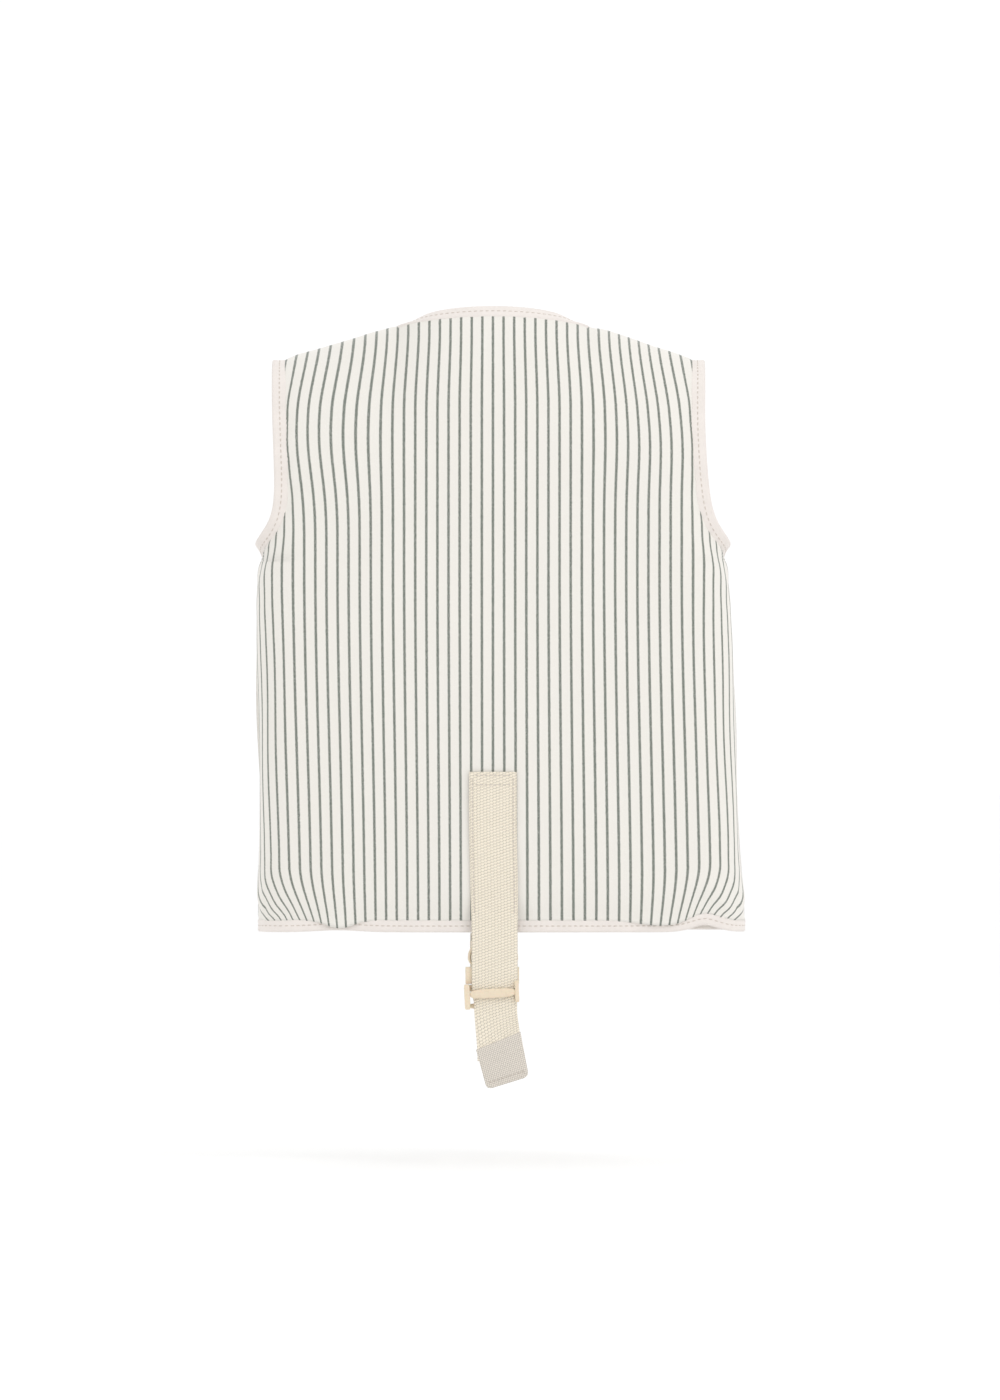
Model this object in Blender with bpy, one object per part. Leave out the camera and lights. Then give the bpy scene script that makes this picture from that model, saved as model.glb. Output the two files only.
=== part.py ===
"""A child's padded swim vest with a crotch strap and a side-release buckle.

Metres, +Z up. The vest stands as it is worn: the back faces -Y and the front, with its
separating zip, faces +Y. The origin is the point at which it is held, at the height of
the shoulder seam's inner end on the centre plane; heights inside this file are measured
from the hem and moved to that origin when a mesh is made.
"""

import math

import bmesh
import bpy
import numpy as np
from mathutils import Matrix, Vector

# ---- driving dimensions (metres) --------------------------------------------------------
WEBBING = 0.030             # width of the strap
SEAM_HEIGHT = 0.396         # neck end of the shoulder seam above the hem
SHOULDER_TIP = 0.3735       # armhole end of the shoulder seam above the hem
NECK_RISE = 0.0055          # the back neck edge stands this much above the seam's ends
NECK_ARCH = 0.050           # and the arch it is cut from stands this much above the edge
NECK_HALF = 0.0625          # half the neck's width at the seams
SHOULDER_HALF = 0.132       # half the width across the fabric's armhole edges
HEM_HALF, CHEST_HALF = 0.159, 0.1545
HEM_DEPTH, CHEST_DEPTH = 0.050, 0.056   # from the side seam to the back or the front
SIDE_RADIUS = 0.028
CROWN = 0.006               # the padded panels bulge by this much in the middle
ARCH_START = 0.290          # the panels start to turn over towards the shoulders here
ARMHOLE_BOTTOM = 0.2425
BINDING = 0.0087            # width of the binding beyond the fabric
OUTER, LINING, FOAM_BACK, FOAM_FRONT = 0.0025, 0.0020, 0.019, 0.016
GAP = 0.0003
FOAM_GAP = 0.0005           # between the layers of a panel
FOAM_FILL = 0.92            # the pad is this much of its pocket's thickness
EDGE_GAP = 0.0007           # between a fabric's edge and the binding beyond it
SPLIT = 0.352               # the front panels end here, the shoulder pieces begin
FRONT_NECK = 0.345          # bottom of the front neckline
ZIP_HALF = 0.0105           # fabric edge beside the zip
ZIP_Y = 0.0530              # the zip hangs straight while the pads bulge beside it
TAPE_DEPTH = 0.0028         # the tape lies this far under the front's skin
ZIP_PULL_IN = 0.030         # the fabric comes down to the zip over about this girth
HINGE_X = 0.1608            # upright axis of each front panel, just outside the side seam
STRAP_TOP = 0.106
STRAP_THICK = 0.0015
STRAP_Y = -(HEM_DEPTH + CROWN) - GAP - STRAP_THICK / 2
STRAP_END = -0.101
LIFT = -SEAM_HEIGHT         # hem-based heights to the origin's


# ---- scene and materials ----------------------------------------------------------------
for old in list(bpy.data.objects):
    bpy.data.objects.remove(old, do_unlink=True)

PARTS = bpy.data.collections.new("swim_vest")
CUTTERS = bpy.data.collections.new("swim_vest_cutters")
for collection in (PARTS, CUTTERS):
    bpy.context.scene.collection.children.link(collection)


def finish(name, colour, roughness, metallic=0.0):
    """A plain Principled material."""
    made = bpy.data.materials.new(name)
    made.use_nodes = True
    shader = made.node_tree.nodes["Principled BSDF"]
    shader.inputs["Base Color"].default_value = (*colour, 1.0)
    shader.inputs["Roughness"].default_value = roughness
    shader.inputs["Metallic"].default_value = metallic
    return made


STRIPED = finish("striped_neoprene", (0.80, 0.79, 0.74), 0.85)
CREAM = finish("cream_binding", (0.87, 0.83, 0.78), 0.80)
FOAM = finish("float_foam", (0.88, 0.88, 0.86), 0.90)
LINER = finish("lining_knit", (0.84, 0.82, 0.77), 0.85)
TAPE = finish("webbing", (0.76, 0.69, 0.56), 0.90)
PLASTIC = finish("buckle_plastic", (0.82, 0.71, 0.51), 0.35)
TAB = finish("woven_tab", (0.68, 0.64, 0.56), 0.85)
ZIP = finish("zip_plastic", (0.83, 0.80, 0.73), 0.40)


# ---- mesh helpers -----------------------------------------------------------------------
def keep(name, mesh, material, pivot=(0.0, 0.0, 0.0)):
    """Link a mesh given in hem-based coordinates, with its origin at a joint's pivot."""
    place = Vector((pivot[0], pivot[1], pivot[2] + LIFT))
    for vertex in mesh.vertices:
        vertex.co.z += LIFT
        vertex.co -= place
    mesh.materials.clear()
    mesh.materials.append(material)
    mesh.shade_smooth()
    mesh.set_sharp_from_angle(angle=math.radians(40))
    made = bpy.data.objects.new(name, mesh)
    made.location = place
    PARTS.objects.link(made)
    return made


def loft(name, outer, inner, material, pivot=(0.0, 0.0, 0.0)):
    """Close the space between two unlike surfaces given as rows of points on one grid.

    Every cell is cut along the same diagonal, so neighbouring layers stay parallel.
    """
    rows, columns = outer.shape[:2]
    count = rows * columns
    index = np.arange(count).reshape(rows, columns)
    rim = [*index[0, :-1], *index[:-1, -1], *index[-1, :0:-1], *index[:0:-1, 0]]
    faces = []
    for i in range(rows - 1):
        for j in range(columns - 1):
            a, b, c, d = index[i, j], index[i, j + 1], index[i + 1, j + 1], index[i + 1, j]
            for corners in ([a, b, c], [a, c, d]):
                faces.append(corners)
                faces.append([k + count for k in corners[::-1]])
    for start, end in zip(rim, rim[1:] + rim[:1]):
        faces.append([end, start, start + count, end + count])
    points = np.concatenate([outer.reshape(-1, 3), inner.reshape(-1, 3)])
    mesh = bpy.data.meshes.new(name)
    mesh.from_pydata([tuple(p) for p in points], [], [[int(k) for k in f] for f in faces])
    face_outwards(mesh)
    return keep(name, mesh, material, pivot)


def face_outwards(mesh):
    """Triangulate, then turn every face of a closed mesh to point out."""
    work = bmesh.new()
    work.from_mesh(mesh)
    bmesh.ops.triangulate(work, faces=work.faces)
    bmesh.ops.recalc_face_normals(work, faces=work.faces)
    if work.calc_volume(signed=True) < 0:
        bmesh.ops.reverse_faces(work, faces=work.faces)
    work.to_mesh(mesh)
    work.free()


def block(name, low, high, material=None, bevel=0.0, pivot=(0.0, 0.0, 0.0)):
    """A box between two corners. Without a material it is a cutter."""
    work = bmesh.new()
    bmesh.ops.create_cube(work, size=1.0)
    size = [b - a for a, b in zip(low, high)]
    middle = [(a + b) / 2 for a, b in zip(low, high)]
    bmesh.ops.scale(work, vec=size, verts=work.verts)
    bmesh.ops.translate(work, vec=middle, verts=work.verts)
    if bevel:
        bmesh.ops.bevel(work, geom=work.edges[:], offset=bevel, segments=2, affect="EDGES",
                        profile=0.5, clamp_overlap=True)
    mesh = bpy.data.meshes.new(name)
    work.to_mesh(mesh)
    work.free()
    if material:
        return keep(name, mesh, material, pivot)
    mesh.transform(Matrix.Translation((0.0, 0.0, LIFT)))
    made = bpy.data.objects.new(name, mesh)
    made.hide_render = True
    made.display_type = "WIRE"
    CUTTERS.objects.link(made)
    return made


def combine(target, others, operation):
    """Cut or join blocks on a target, in order, with exact Booleans."""
    for other in others:
        step = target.modifiers.new(operation.lower() + "_" + other.name, "BOOLEAN")
        step.operation = operation
        step.object = other
        step.solver = "EXACT"
    return target


# ---- the vest's form --------------------------------------------------------------------
def half_width(z):
    return HEM_HALF + (CHEST_HALF - HEM_HALF) * np.clip(z / ARMHOLE_BOTTOM, 0, 1)


def half_depth(z):
    return HEM_DEPTH + (CHEST_DEPTH - HEM_DEPTH) * np.clip(z / 0.16, 0, 1)


def half_girth(z):
    """Length of the outline from the middle of the back to the side seam."""
    flat = half_width(z) - SIDE_RADIUS
    return flat + math.pi / 2 * SIDE_RADIUS + half_depth(z) - SIDE_RADIUS


def armhole_edge(z):
    """Girth at which the fabric ends: the side seam, then the armhole's steep curve."""
    rise = np.clip(z - ARMHOLE_BOTTOM, 0, None)
    return SHOULDER_HALF + (half_girth(z) - SHOULDER_HALF) * np.exp(-rise / 0.0115)


def shoulder_line(x):
    """Height of the shoulder seam over x; inside the neck it runs on as an arch."""
    x = np.abs(x)
    slope = (SHOULDER_TIP - SEAM_HEIGHT) / (SHOULDER_HALF - NECK_HALF)
    inside = 1 - (x / NECK_HALF) ** 2
    return np.where(x < NECK_HALF, SEAM_HEIGHT + (NECK_RISE + NECK_ARCH) * inside,
                    SEAM_HEIGHT + slope * (x - NECK_HALF))


def back_top(x):
    """Height of the back panel's upper edge."""
    x = np.abs(x)
    inside = np.clip(1 - (x / NECK_HALF) ** 2, 0, None)
    return np.where(x < NECK_HALF, SEAM_HEIGHT + NECK_RISE * inside, shoulder_line(x))


def front_neck(z):
    """Half width of the neckline on the front, from the split up to the seam."""
    return 0.046 + (NECK_HALF - 0.046) * np.clip((z - SPLIT) / (SEAM_HEIGHT - SPLIT), 0, 1)


def skin(girth, z, depth, side, crest):
    """Points of the vest at a girth from the centre and a height, a depth under the skin.

    The section is a rounded rectangle; above ARCH_START it turns over an elliptic arch
    whose crest is the shoulder line. side is -1 for the back and 1 for the front, where
    the fabric also comes in to the straight zip.
    """
    sign = np.sign(girth)
    girth = np.abs(girth)
    flat = half_width(z) - SIDE_RADIUS
    radius = SIDE_RADIUS - depth
    angle = np.clip((girth - flat) / SIDE_RADIUS, 0, math.pi / 2)
    down = np.clip(girth - flat - math.pi / 2 * SIDE_RADIUS, 0, None)
    x = np.minimum(girth, flat) + radius * np.sin(angle)
    y = half_depth(z) - SIDE_RADIUS + radius * np.cos(angle) - down
    y = y + CROWN * np.clip(1 - (girth / flat) ** 2, 0, None)
    share = np.clip((z - ARCH_START) / (crest - ARCH_START), 0, 1)
    y = y * np.sqrt(1 - share ** 2)
    if side > 0:
        bulge = half_depth(z) + CROWN - TAPE_DEPTH
        crest_share = np.clip((z - ARCH_START) / (SEAM_HEIGHT - ARCH_START), 0, 1)
        bulge = bulge * np.sqrt(1 - crest_share ** 2)
        near = np.exp(-((girth - ZIP_HALF) / ZIP_PULL_IN) ** 2)
        y = y + (ZIP_Y - bulge) * near
    return np.stack([sign * x, side * y, z - depth * share], axis=-1)


SIDE_ROWS = [BINDING + GAP, 0.030, 0.085, 0.150, 0.205]
ARM_ROWS = [ARMHOLE_BOTTOM, 0.2475, 0.254, 0.263, 0.275]
FRONT_ROWS = [*ARM_ROWS, 0.300, 0.325]


def arch_rows(crest):
    """Heights from the start of the arch to its crest, closer together at the crest."""
    return ARCH_START + (crest - ARCH_START) * np.sin(np.linspace(0, math.pi / 2, 7))


HALF_ACROSS = np.array([0, 0.12, 0.24, 0.34, 0.42, NECK_HALF / SHOULDER_HALF, 0.60, 0.70, 0.80,
                        0.88, 0.96, 1])
BACK_ACROSS = np.concatenate([-HALF_ACROSS[:0:-1], HALF_ACROSS])


def padding(rows, columns, crest_rows):
    """0 on a panel's edges and 1 where the foam is full, thinner over the last rows."""
    upright = np.ones(rows)
    upright[:2] = [0.0, 0.6]
    upright[-len(crest_rows):] = crest_rows
    sideways = np.ones(columns)
    sideways[[0, -1]] = 0.0
    sideways[[1, -2]] = 0.6
    return upright[:, None] * sideways


def panel(name, face, pad, foam, pivot=(0.0, 0.0, 0.0)):
    """An outer shell, its foam and its lining, each a node."""
    bulk = pad * foam
    loft(name + "_outer", face(0.0), face(OUTER), STRIPED, pivot)
    under = OUTER + FOAM_GAP
    lining = under + bulk + FOAM_GAP
    loft(name + "_lining", face(lining), face(lining + LINING), LINER, pivot)
    inner = (slice(1, -1), slice(2, -2))
    top = face(np.full_like(bulk, under))[inner]
    loft(name + "_foam", top, face(under + bulk * FOAM_FILL)[inner], FOAM, pivot)


def make_back():
    crests = back_top(BACK_ACROSS * SHOULDER_HALF)
    z = np.array([[*SIDE_ROWS, *ARM_ROWS, *arch_rows(crest)] for crest in crests]).T
    pad = padding(*z.shape, [0.75, 0.45, 0.2, 0.1, 0.0])
    beside_armholes = np.s_[len(SIDE_ROWS):len(SIDE_ROWS) + len(ARM_ROWS) - 1]
    pad[beside_armholes, [1]] *= 0.4
    pad[beside_armholes, [-2]] *= 0.4
    crest = shoulder_line(BACK_ACROSS * SHOULDER_HALF)
    girth = armhole_edge(z) * BACK_ACROSS
    panel("back", lambda depth: skin(girth, z, depth, -1, crest), pad, FOAM_BACK)


def make_front(hand, sign):
    """A front half from its zip edge to the side seam, up to the split."""
    across = np.array([0, 0.14, 0.30, 0.42, 0.54, 0.66, 0.78, 0.88, 0.96, 1])
    x = ZIP_HALF + (SHOULDER_HALF - ZIP_HALF) * across
    top = FRONT_NECK + (SPLIT - FRONT_NECK) * np.clip(x / 0.046, 0, 1) ** 2
    z = np.array([[*SIDE_ROWS, *FRONT_ROWS, t] for t in top]).T
    crest = shoulder_line(np.maximum(x, NECK_HALF))

    def face(depth):
        girth = ZIP_HALF + (armhole_edge(z) - GAP - ZIP_HALF) * across
        return skin(girth, z, depth, 1, crest) * [sign, 1, 1] + [0, GAP, 0]

    pivot = (sign * HINGE_X, 0.0, 0.15)
    panel("front_" + hand, face, padding(*z.shape, [0.6, 0.0]), FOAM_FRONT, pivot)


def shoulder_rows(crest):
    """Heights from just above the split up to the crest, even steps round the arch."""
    tall = crest - ARCH_START
    low = np.arcsin((SPLIT + 0.0006 - ARCH_START) / tall)
    part = np.linspace(0, 1, 6).reshape(-1, *[1] * np.ndim(crest))
    return ARCH_START + tall * np.sin(low + (math.pi / 2 - low) * part)


def make_shoulder(hand, sign):
    """The stretch of a shoulder from the seam down the front to the split."""
    across = np.linspace(0, 1, 6)
    x = front_neck(SEAM_HEIGHT) + (SHOULDER_HALF - NECK_HALF) * across
    crest = shoulder_line(x)
    z = shoulder_rows(crest)

    def face(depth):
        neck = front_neck(z)
        girth = neck + (SHOULDER_HALF - neck) * across
        return skin(girth, z, depth, 1, crest) * [sign, 1, 1] + [0, GAP, 0]

    loft("shoulder_outer_" + hand, face(0.0), face(OUTER), STRIPED)
    start = OUTER + 2 * FOAM_GAP
    loft("shoulder_lining_" + hand, face(start), face(start + LINING), LINER)


# ---- bindings ---------------------------------------------------------------------------
def binding(name, edge, beyond, material, pivot=(0.0, 0.0, 0.0)):
    """A strip beyond a fabric edge.

    edge holds two lines of points, on the skin and at the lining's inner face; beyond is
    the direction in the fabric's surface that leads away from the fabric.
    """
    skin_line, inner_line = edge
    reach = beyond / np.linalg.norm(beyond, axis=-1, keepdims=True)
    outer = np.stack([skin_line + reach * EDGE_GAP, skin_line + reach * BINDING])
    inner = np.stack([inner_line + reach * EDGE_GAP, inner_line + reach * BINDING])
    return loft(name, outer, inner, material, pivot)


def away(line, surface_step):
    """Part of surface_step that is square to a line of points."""
    along = np.gradient(line, axis=0)
    along /= np.linalg.norm(along, axis=-1, keepdims=True)
    return surface_step - along * (surface_step * along).sum(-1, keepdims=True)


EDGE_DEPTH = OUTER + LINING + 2 * FOAM_GAP


def armhole_points(side, z, girth_step=0.0):
    crest = shoulder_line(np.full_like(z, SHOULDER_HALF))
    girth = armhole_edge(z) + girth_step
    return [skin(girth, z, d, side, crest) for d in (0.0, EDGE_DEPTH)]


def make_armhole_bindings(hand, sign):
    """The long run, from the split over the shoulder down to the side seam, and the front's."""
    climb = np.array([*ARM_ROWS, *arch_rows(SHOULDER_TIP)])
    front = shoulder_rows(SHOULDER_TIP)[-2::-1]
    low = np.array([*FRONT_ROWS, SPLIT - 0.0004])

    def run(parts):
        lines = [np.concatenate([armhole_points(s, z)[k] for s, z in parts]) for k in (0, 1)]
        ahead = np.concatenate([armhole_points(s, z, 0.004)[0] for s, z in parts])
        upward = np.array([0.0, 0.0, 1.0])
        step = ahead - lines[0]
        length = np.linalg.norm(step, axis=-1, keepdims=True)
        step = np.where(length > 1e-6, step / np.maximum(length, 1e-9), upward)
        for k in np.flatnonzero(np.abs(lines[0][:, 1]) < 0.0285):
            if lines[0][k, 2] < ARCH_START:
                step[k] = upward
        beyond = away(lines[0], step)
        return [line * [sign, 1, 1] for line in lines], beyond * [sign, 1, 1]

    edge, beyond = run([(-1, climb), (1, front)])
    edge = [line + [0, -GAP / 2, 0] * (np.arange(len(line)) < 1)[:, None] for line in edge]
    beyond[0] = [0, 0, 1]
    binding("armhole_binding_" + hand, edge, beyond, CREAM)
    edge, beyond = run([(1, low)])
    beyond[0] = [0, 0, 1]
    edge = [line + [0, GAP, 0] for line in edge]
    binding("armhole_binding_front_" + hand, edge, beyond, CREAM, (sign * HINGE_X, 0, 0.15))


def neck_run(x, z, side):
    crest = shoulder_line(np.maximum(np.abs(x), NECK_HALF) if side > 0 else x)
    return [skin(x, z, d, side, crest) for d in (0.0, EDGE_DEPTH)]


def make_neck_bindings():
    """One strip round the back and over both shoulders, and a short one on each front."""
    across = BACK_ACROSS[np.abs(BACK_ACROSS) < 0.48] * SHOULDER_HALF
    back = neck_run(across, back_top(across), -1)
    z = shoulder_rows(SEAM_HEIGHT)[-2::-1]
    right = neck_run(front_neck(z), z, 1)
    left = [line[::-1] * [-1, 1, 1] for line in right]
    edge = [np.concatenate([left[k], back[k], right[k]]) for k in (0, 1)]
    beyond = np.cross(np.gradient(edge[0], axis=0), edge[1] - edge[0])
    binding("neck_binding", edge, beyond, CREAM)
    for hand, sign in (("left", -1), ("right", 1)):
        x = np.linspace(ZIP_HALF, 0.0335, 5)
        z = FRONT_NECK + (SPLIT - FRONT_NECK) * (x / 0.046) ** 2 - 0.0002
        short = [line * [sign, 1, 1] for line in neck_run(x, z, 1)]
        upward = away(short[0], np.tile([0.0, -0.35, 1.0], (x.size, 1)))
        pivot = (sign * HINGE_X, 0, 0.15)
        binding("neck_binding_front_" + hand, short, upward, CREAM, pivot)


def make_hem_bindings():
    """A strip under each panel, level with the outer and the lining gathered together."""
    girth = half_girth(0.0)

    def ring(around, side, sign, shift):
        rows = []
        for z in (BINDING, 0.0):
            line = np.array([skin(g, z, 0.0, side, 1.0) for g in around])
            deep = np.array([skin(g, z, EDGE_DEPTH, side, 1.0) for g in around])
            rows.append((line * [sign, 1, 1] + [0, shift, 0], deep * [sign, 1, 1] + [0, shift, 0]))
        return np.stack([r[0] for r in rows]), np.stack([r[1] for r in rows])

    back = girth * BACK_ACROSS
    outer, inner = ring(back, -1, 1, 0.0)
    loft("hem_binding", outer, inner, CREAM)
    for hand, sign in (("left", -1), ("right", 1)):
        around = ZIP_HALF + (girth - ZIP_HALF) * np.linspace(0, 1, 12)
        outer, inner = ring(around, 1, sign, GAP)
        loft("hem_binding_front_" + hand, outer, inner, CREAM, (sign * HINGE_X, 0, 0.15))


# ---- the zip ----------------------------------------------------------------------------
TEETH_GAP, TEETH_EDGE, TEETH_THICK = 0.0012, 0.0030, 0.0022
SLIDER_LOW, SLIDER_HIGH, SLIDER_HALF = 0.3220, 0.3330, 0.0042
PLATE, CLEAR = 0.0010, 0.0009
SLIDER_FACE = ZIP_Y + TEETH_THICK / 2 + CLEAR + PLATE
PULL_Y, PULL_TOP = SLIDER_FACE + 0.0018, 0.3284


def zip_piece(name, sign, x_range, thick, low, high, material, bevel=0.0):
    """An upright strip of one half of the zip, on the front's straight edge."""
    x = sorted(sign * x for x in x_range)
    return block(name, (x[0], ZIP_Y - thick / 2, low), (x[1], ZIP_Y + thick / 2, high),
                 material, bevel, (sign * HINGE_X, 0, 0.15))


def make_zip():
    teeth = (TEETH_GAP, TEETH_EDGE)
    for hand, sign in (("left", -1), ("right", 1)):
        zip_piece("zip_tape_" + hand, sign, (TEETH_EDGE + GAP, ZIP_HALF - GAP), 0.0010,
                  0.002, 0.342, CREAM)
        zip_piece("zip_teeth_" + hand, sign, teeth, TEETH_THICK, 0.012, 0.334, ZIP)
        zip_piece("zip_top_stop_" + hand, sign, teeth, 0.0026, 0.3343, 0.3385, ZIP)
    zip_piece("zip_insertion_pin", -1, teeth, 0.0024, 0.0025, 0.0115, ZIP)
    zip_piece("zip_bottom_box", 1, (GAP - TEETH_GAP, TEETH_EDGE), 0.0040, 0.0005, 0.0113, ZIP,
              0.0004)
    make_slider()
    make_pull()


def make_slider():
    """Two plates, the neck between the tooth rows, and an arch on two lugs for the pull."""
    face = SLIDER_FACE
    rear = 2 * ZIP_Y - face
    body = block("zip_slider", (-SLIDER_HALF, face - PLATE, SLIDER_LOW),
                 (SLIDER_HALF, face, SLIDER_HIGH), ZIP, 0.0003, (0.0, face, 0.3275))
    joined = [
        block("slider_rear_plate", (-SLIDER_HALF, rear, SLIDER_LOW),
              (SLIDER_HALF, rear + PLATE, SLIDER_HIGH)),
        block("slider_neck", (-0.0007, rear + 0.0005, SLIDER_HIGH - 0.0040),
              (0.0007, face - 0.0005, SLIDER_HIGH - 0.0010)),
        block("slider_arch", (-0.0008, face + 0.0034, 0.3240), (0.0008, face + 0.0044, 0.3302)),
    ]
    for low in (0.3240, 0.3290):
        joined.append(block("slider_lug", (-0.0008, face - 0.0005, low),
                            (0.0008, face + 0.0040, low + 0.0012)))
    combine(body, joined, "UNION")


def make_pull():
    """A flat tab whose eye hangs on the slider's arch."""
    tab = block("zip_pull", (-0.0038, PULL_Y - 0.0005, 0.3000), (0.0038, PULL_Y + 0.0005, PULL_TOP),
                ZIP, 0.0002, (0.0, PULL_Y, PULL_TOP - 0.0013))
    eye = block("pull_eye", (-0.0017, PULL_Y - 0.002, 0.3200),
                (0.0017, PULL_Y + 0.002, PULL_TOP - 0.0010))
    combine(tab, [eye], "DIFFERENCE")


# ---- strap and buckle -------------------------------------------------------------------
FRAME_TOP, FRAME_END = -0.0328, -0.0486
BUCKLE_NEAR = STRAP_Y + STRAP_THICK / 2 + 0.0004      # the buckle's face beside the webbing
BUCKLE_FAR = BUCKLE_NEAR + 0.0088
BUCKLE_MID = (BUCKLE_NEAR + BUCKLE_FAR) / 2
SWING = (0.0, STRAP_Y, 0.0)
HALF = WEBBING / 2


def make_strap():
    """The webbing: sewn to the back, then free through the lock to its tail."""
    z = np.array([0.0004, 0.030, 0.060, STRAP_TOP])
    y = np.array([skin(np.array(0.0), h, 0.0, -1, 1.0)[1] for h in z]) - GAP

    def face(line):
        return np.stack([np.stack([np.full_like(z, x), line, z], -1) for x in (-HALF, HALF)], 1)

    loft("crotch_strap_sewn", face(y - STRAP_THICK), face(y), TAPE)
    near, far = STRAP_Y - STRAP_THICK / 2, STRAP_Y + STRAP_THICK / 2
    block("crotch_strap_free", (-HALF, near, -0.0795), (HALF, far, -0.0003), TAPE, pivot=SWING)
    tab = block("strap_end_tab", (-HALF - 0.0008, near - 0.0014, STRAP_END),
                (HALF + 0.0008, far + 0.0014, -0.0760), TAB, 0.0004, SWING)
    pocket = block("tab_pocket", (-HALF - GAP, near - GAP, -0.0798),
                   (HALF + GAP, far + GAP, -0.0700))
    combine(tab, [pocket], "DIFFERENCE")


def make_front_strap():
    """The short webbing from the front hem back to the female half: a shallow sag."""
    start = np.array([HEM_DEPTH + CROWN - 0.003, -0.0012])
    end = np.array([BUCKLE_FAR + 4 * GAP, -0.0044])
    part = np.linspace(0, 1, 13)
    sag = -0.020 * 4 * part * (1 - part)
    line = start + (end - start) * part[:, None]
    line[:, 1] += sag
    along = np.gradient(line, axis=0)
    along /= np.linalg.norm(along, axis=-1, keepdims=True)
    square = np.stack([-along[:, 1], along[:, 0]], -1) * STRAP_THICK / 2

    def face(points):
        return np.stack([np.stack([np.full(13, x), points[:, 0], points[:, 1]], -1)
                         for x in (-HALF, HALF)], 1)

    loft("front_strap", face(line + square), face(line - square), TAPE, SWING)


def make_buckle():
    """Female half with side windows, male frame with its lock bars, and two prongs."""
    low, high = -0.0322, -0.0030
    female = block("buckle_female", (-0.0178, BUCKLE_NEAR, low), (0.0178, BUCKLE_FAR, high),
                   PLASTIC, 0.0008, SWING)
    hollow = block("female_hollow", (-0.0169, BUCKLE_NEAR + 0.0018, low - 0.001),
                   (0.0169, BUCKLE_FAR - 0.0018, -0.0088))
    windows = block("female_windows", (-0.0190, BUCKLE_NEAR + 0.0012, -0.0205),
                    (0.0190, BUCKLE_FAR - 0.0012, -0.0088))
    combine(female, [hollow, windows], "DIFFERENCE")
    pivot = (0.0, BUCKLE_MID, FRAME_TOP)
    frame = block("buckle_male_frame", (-0.0164, BUCKLE_NEAR, -0.0372),
                  (0.0164, BUCKLE_FAR, FRAME_TOP), PLASTIC, 0.0008, pivot)
    bar_near = STRAP_Y - STRAP_THICK / 2 - 0.0004
    rails = []
    for sign in (-1, 1):
        x = sorted((sign * 0.0158, sign * 0.0178))
        rails.append(block(f"frame_rail_{sign}", (x[0], bar_near - 0.0026, FRAME_END),
                           (x[1], BUCKLE_NEAR + 0.0040, -0.0334)))
    rails.append(block("frame_bar", (-0.0165, bar_near - 0.0026, -0.0410),
                       (0.0165, bar_near, -0.0350)))
    rails.append(block("frame_end_bar", (-0.0165, BUCKLE_NEAR, FRAME_END),
                       (0.0165, BUCKLE_NEAR + 0.0032, -0.0450)))
    tongue = block("frame_tongue", (-0.0030, BUCKLE_MID - 0.0018, -0.0340),
                   (0.0030, BUCKLE_MID + 0.0018, -0.0150))
    combine(frame, [*rails, tongue], "UNION")
    for hand, sign in (("left", -1), ("right", 1)):
        root = (sign * 0.0105, BUCKLE_MID, FRAME_TOP + GAP)
        x = sorted((sign * 0.0088, sign * 0.0122))
        prong = block("buckle_prong_" + hand, (x[0], BUCKLE_MID - 0.0020, FRAME_TOP + GAP),
                      (x[1], BUCKLE_MID + 0.0020, -0.0120), PLASTIC, 0.0004, root)
        x = sorted((sign * 0.0100, sign * 0.0165))
        lobe = block("prong_lobe_" + hand, (x[0], BUCKLE_MID - 0.0020, -0.0200),
                     (x[1], BUCKLE_MID + 0.0020, -0.0116))
        combine(prong, [lobe], "UNION")


# ---- build ------------------------------------------------------------------------------
make_back()
for HAND, SIGN in (("left", -1), ("right", 1)):
    make_front(HAND, SIGN)
    make_shoulder(HAND, SIGN)
    make_armhole_bindings(HAND, SIGN)
make_neck_bindings()
make_hem_bindings()
make_zip()
make_strap()
make_front_strap()
make_buckle()
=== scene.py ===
# %% [markdown]
# # A child's padded swim vest
# The vest is sewn from knit-faced neoprene with foam pads between an outer and a lining.
# Its edges are bound, its front closes with a separating zip, and a webbing strap runs
# between the legs and closes with a side-release buckle. The solid frame is loaded first,
# and every piece below is worked out as a surface over it.

# %% Load the frame
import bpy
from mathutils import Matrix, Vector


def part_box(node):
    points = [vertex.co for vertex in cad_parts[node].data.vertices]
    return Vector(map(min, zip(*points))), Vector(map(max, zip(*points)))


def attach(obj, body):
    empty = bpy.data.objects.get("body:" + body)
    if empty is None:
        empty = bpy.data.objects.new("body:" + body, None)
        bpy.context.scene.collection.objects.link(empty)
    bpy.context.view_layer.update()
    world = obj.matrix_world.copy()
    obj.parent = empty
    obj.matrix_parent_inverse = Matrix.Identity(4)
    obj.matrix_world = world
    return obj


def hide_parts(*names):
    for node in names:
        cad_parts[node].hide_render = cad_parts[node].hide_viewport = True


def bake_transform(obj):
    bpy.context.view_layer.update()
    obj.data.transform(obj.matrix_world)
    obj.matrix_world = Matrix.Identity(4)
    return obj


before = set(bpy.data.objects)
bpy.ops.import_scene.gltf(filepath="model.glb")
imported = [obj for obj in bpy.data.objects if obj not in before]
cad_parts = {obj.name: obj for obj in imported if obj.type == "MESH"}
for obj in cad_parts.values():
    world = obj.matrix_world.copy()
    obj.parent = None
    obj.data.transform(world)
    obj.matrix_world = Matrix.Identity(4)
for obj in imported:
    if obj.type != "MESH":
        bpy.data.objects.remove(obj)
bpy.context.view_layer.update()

import math

import bpy
import numpy as np
from mathutils import Vector

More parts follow.
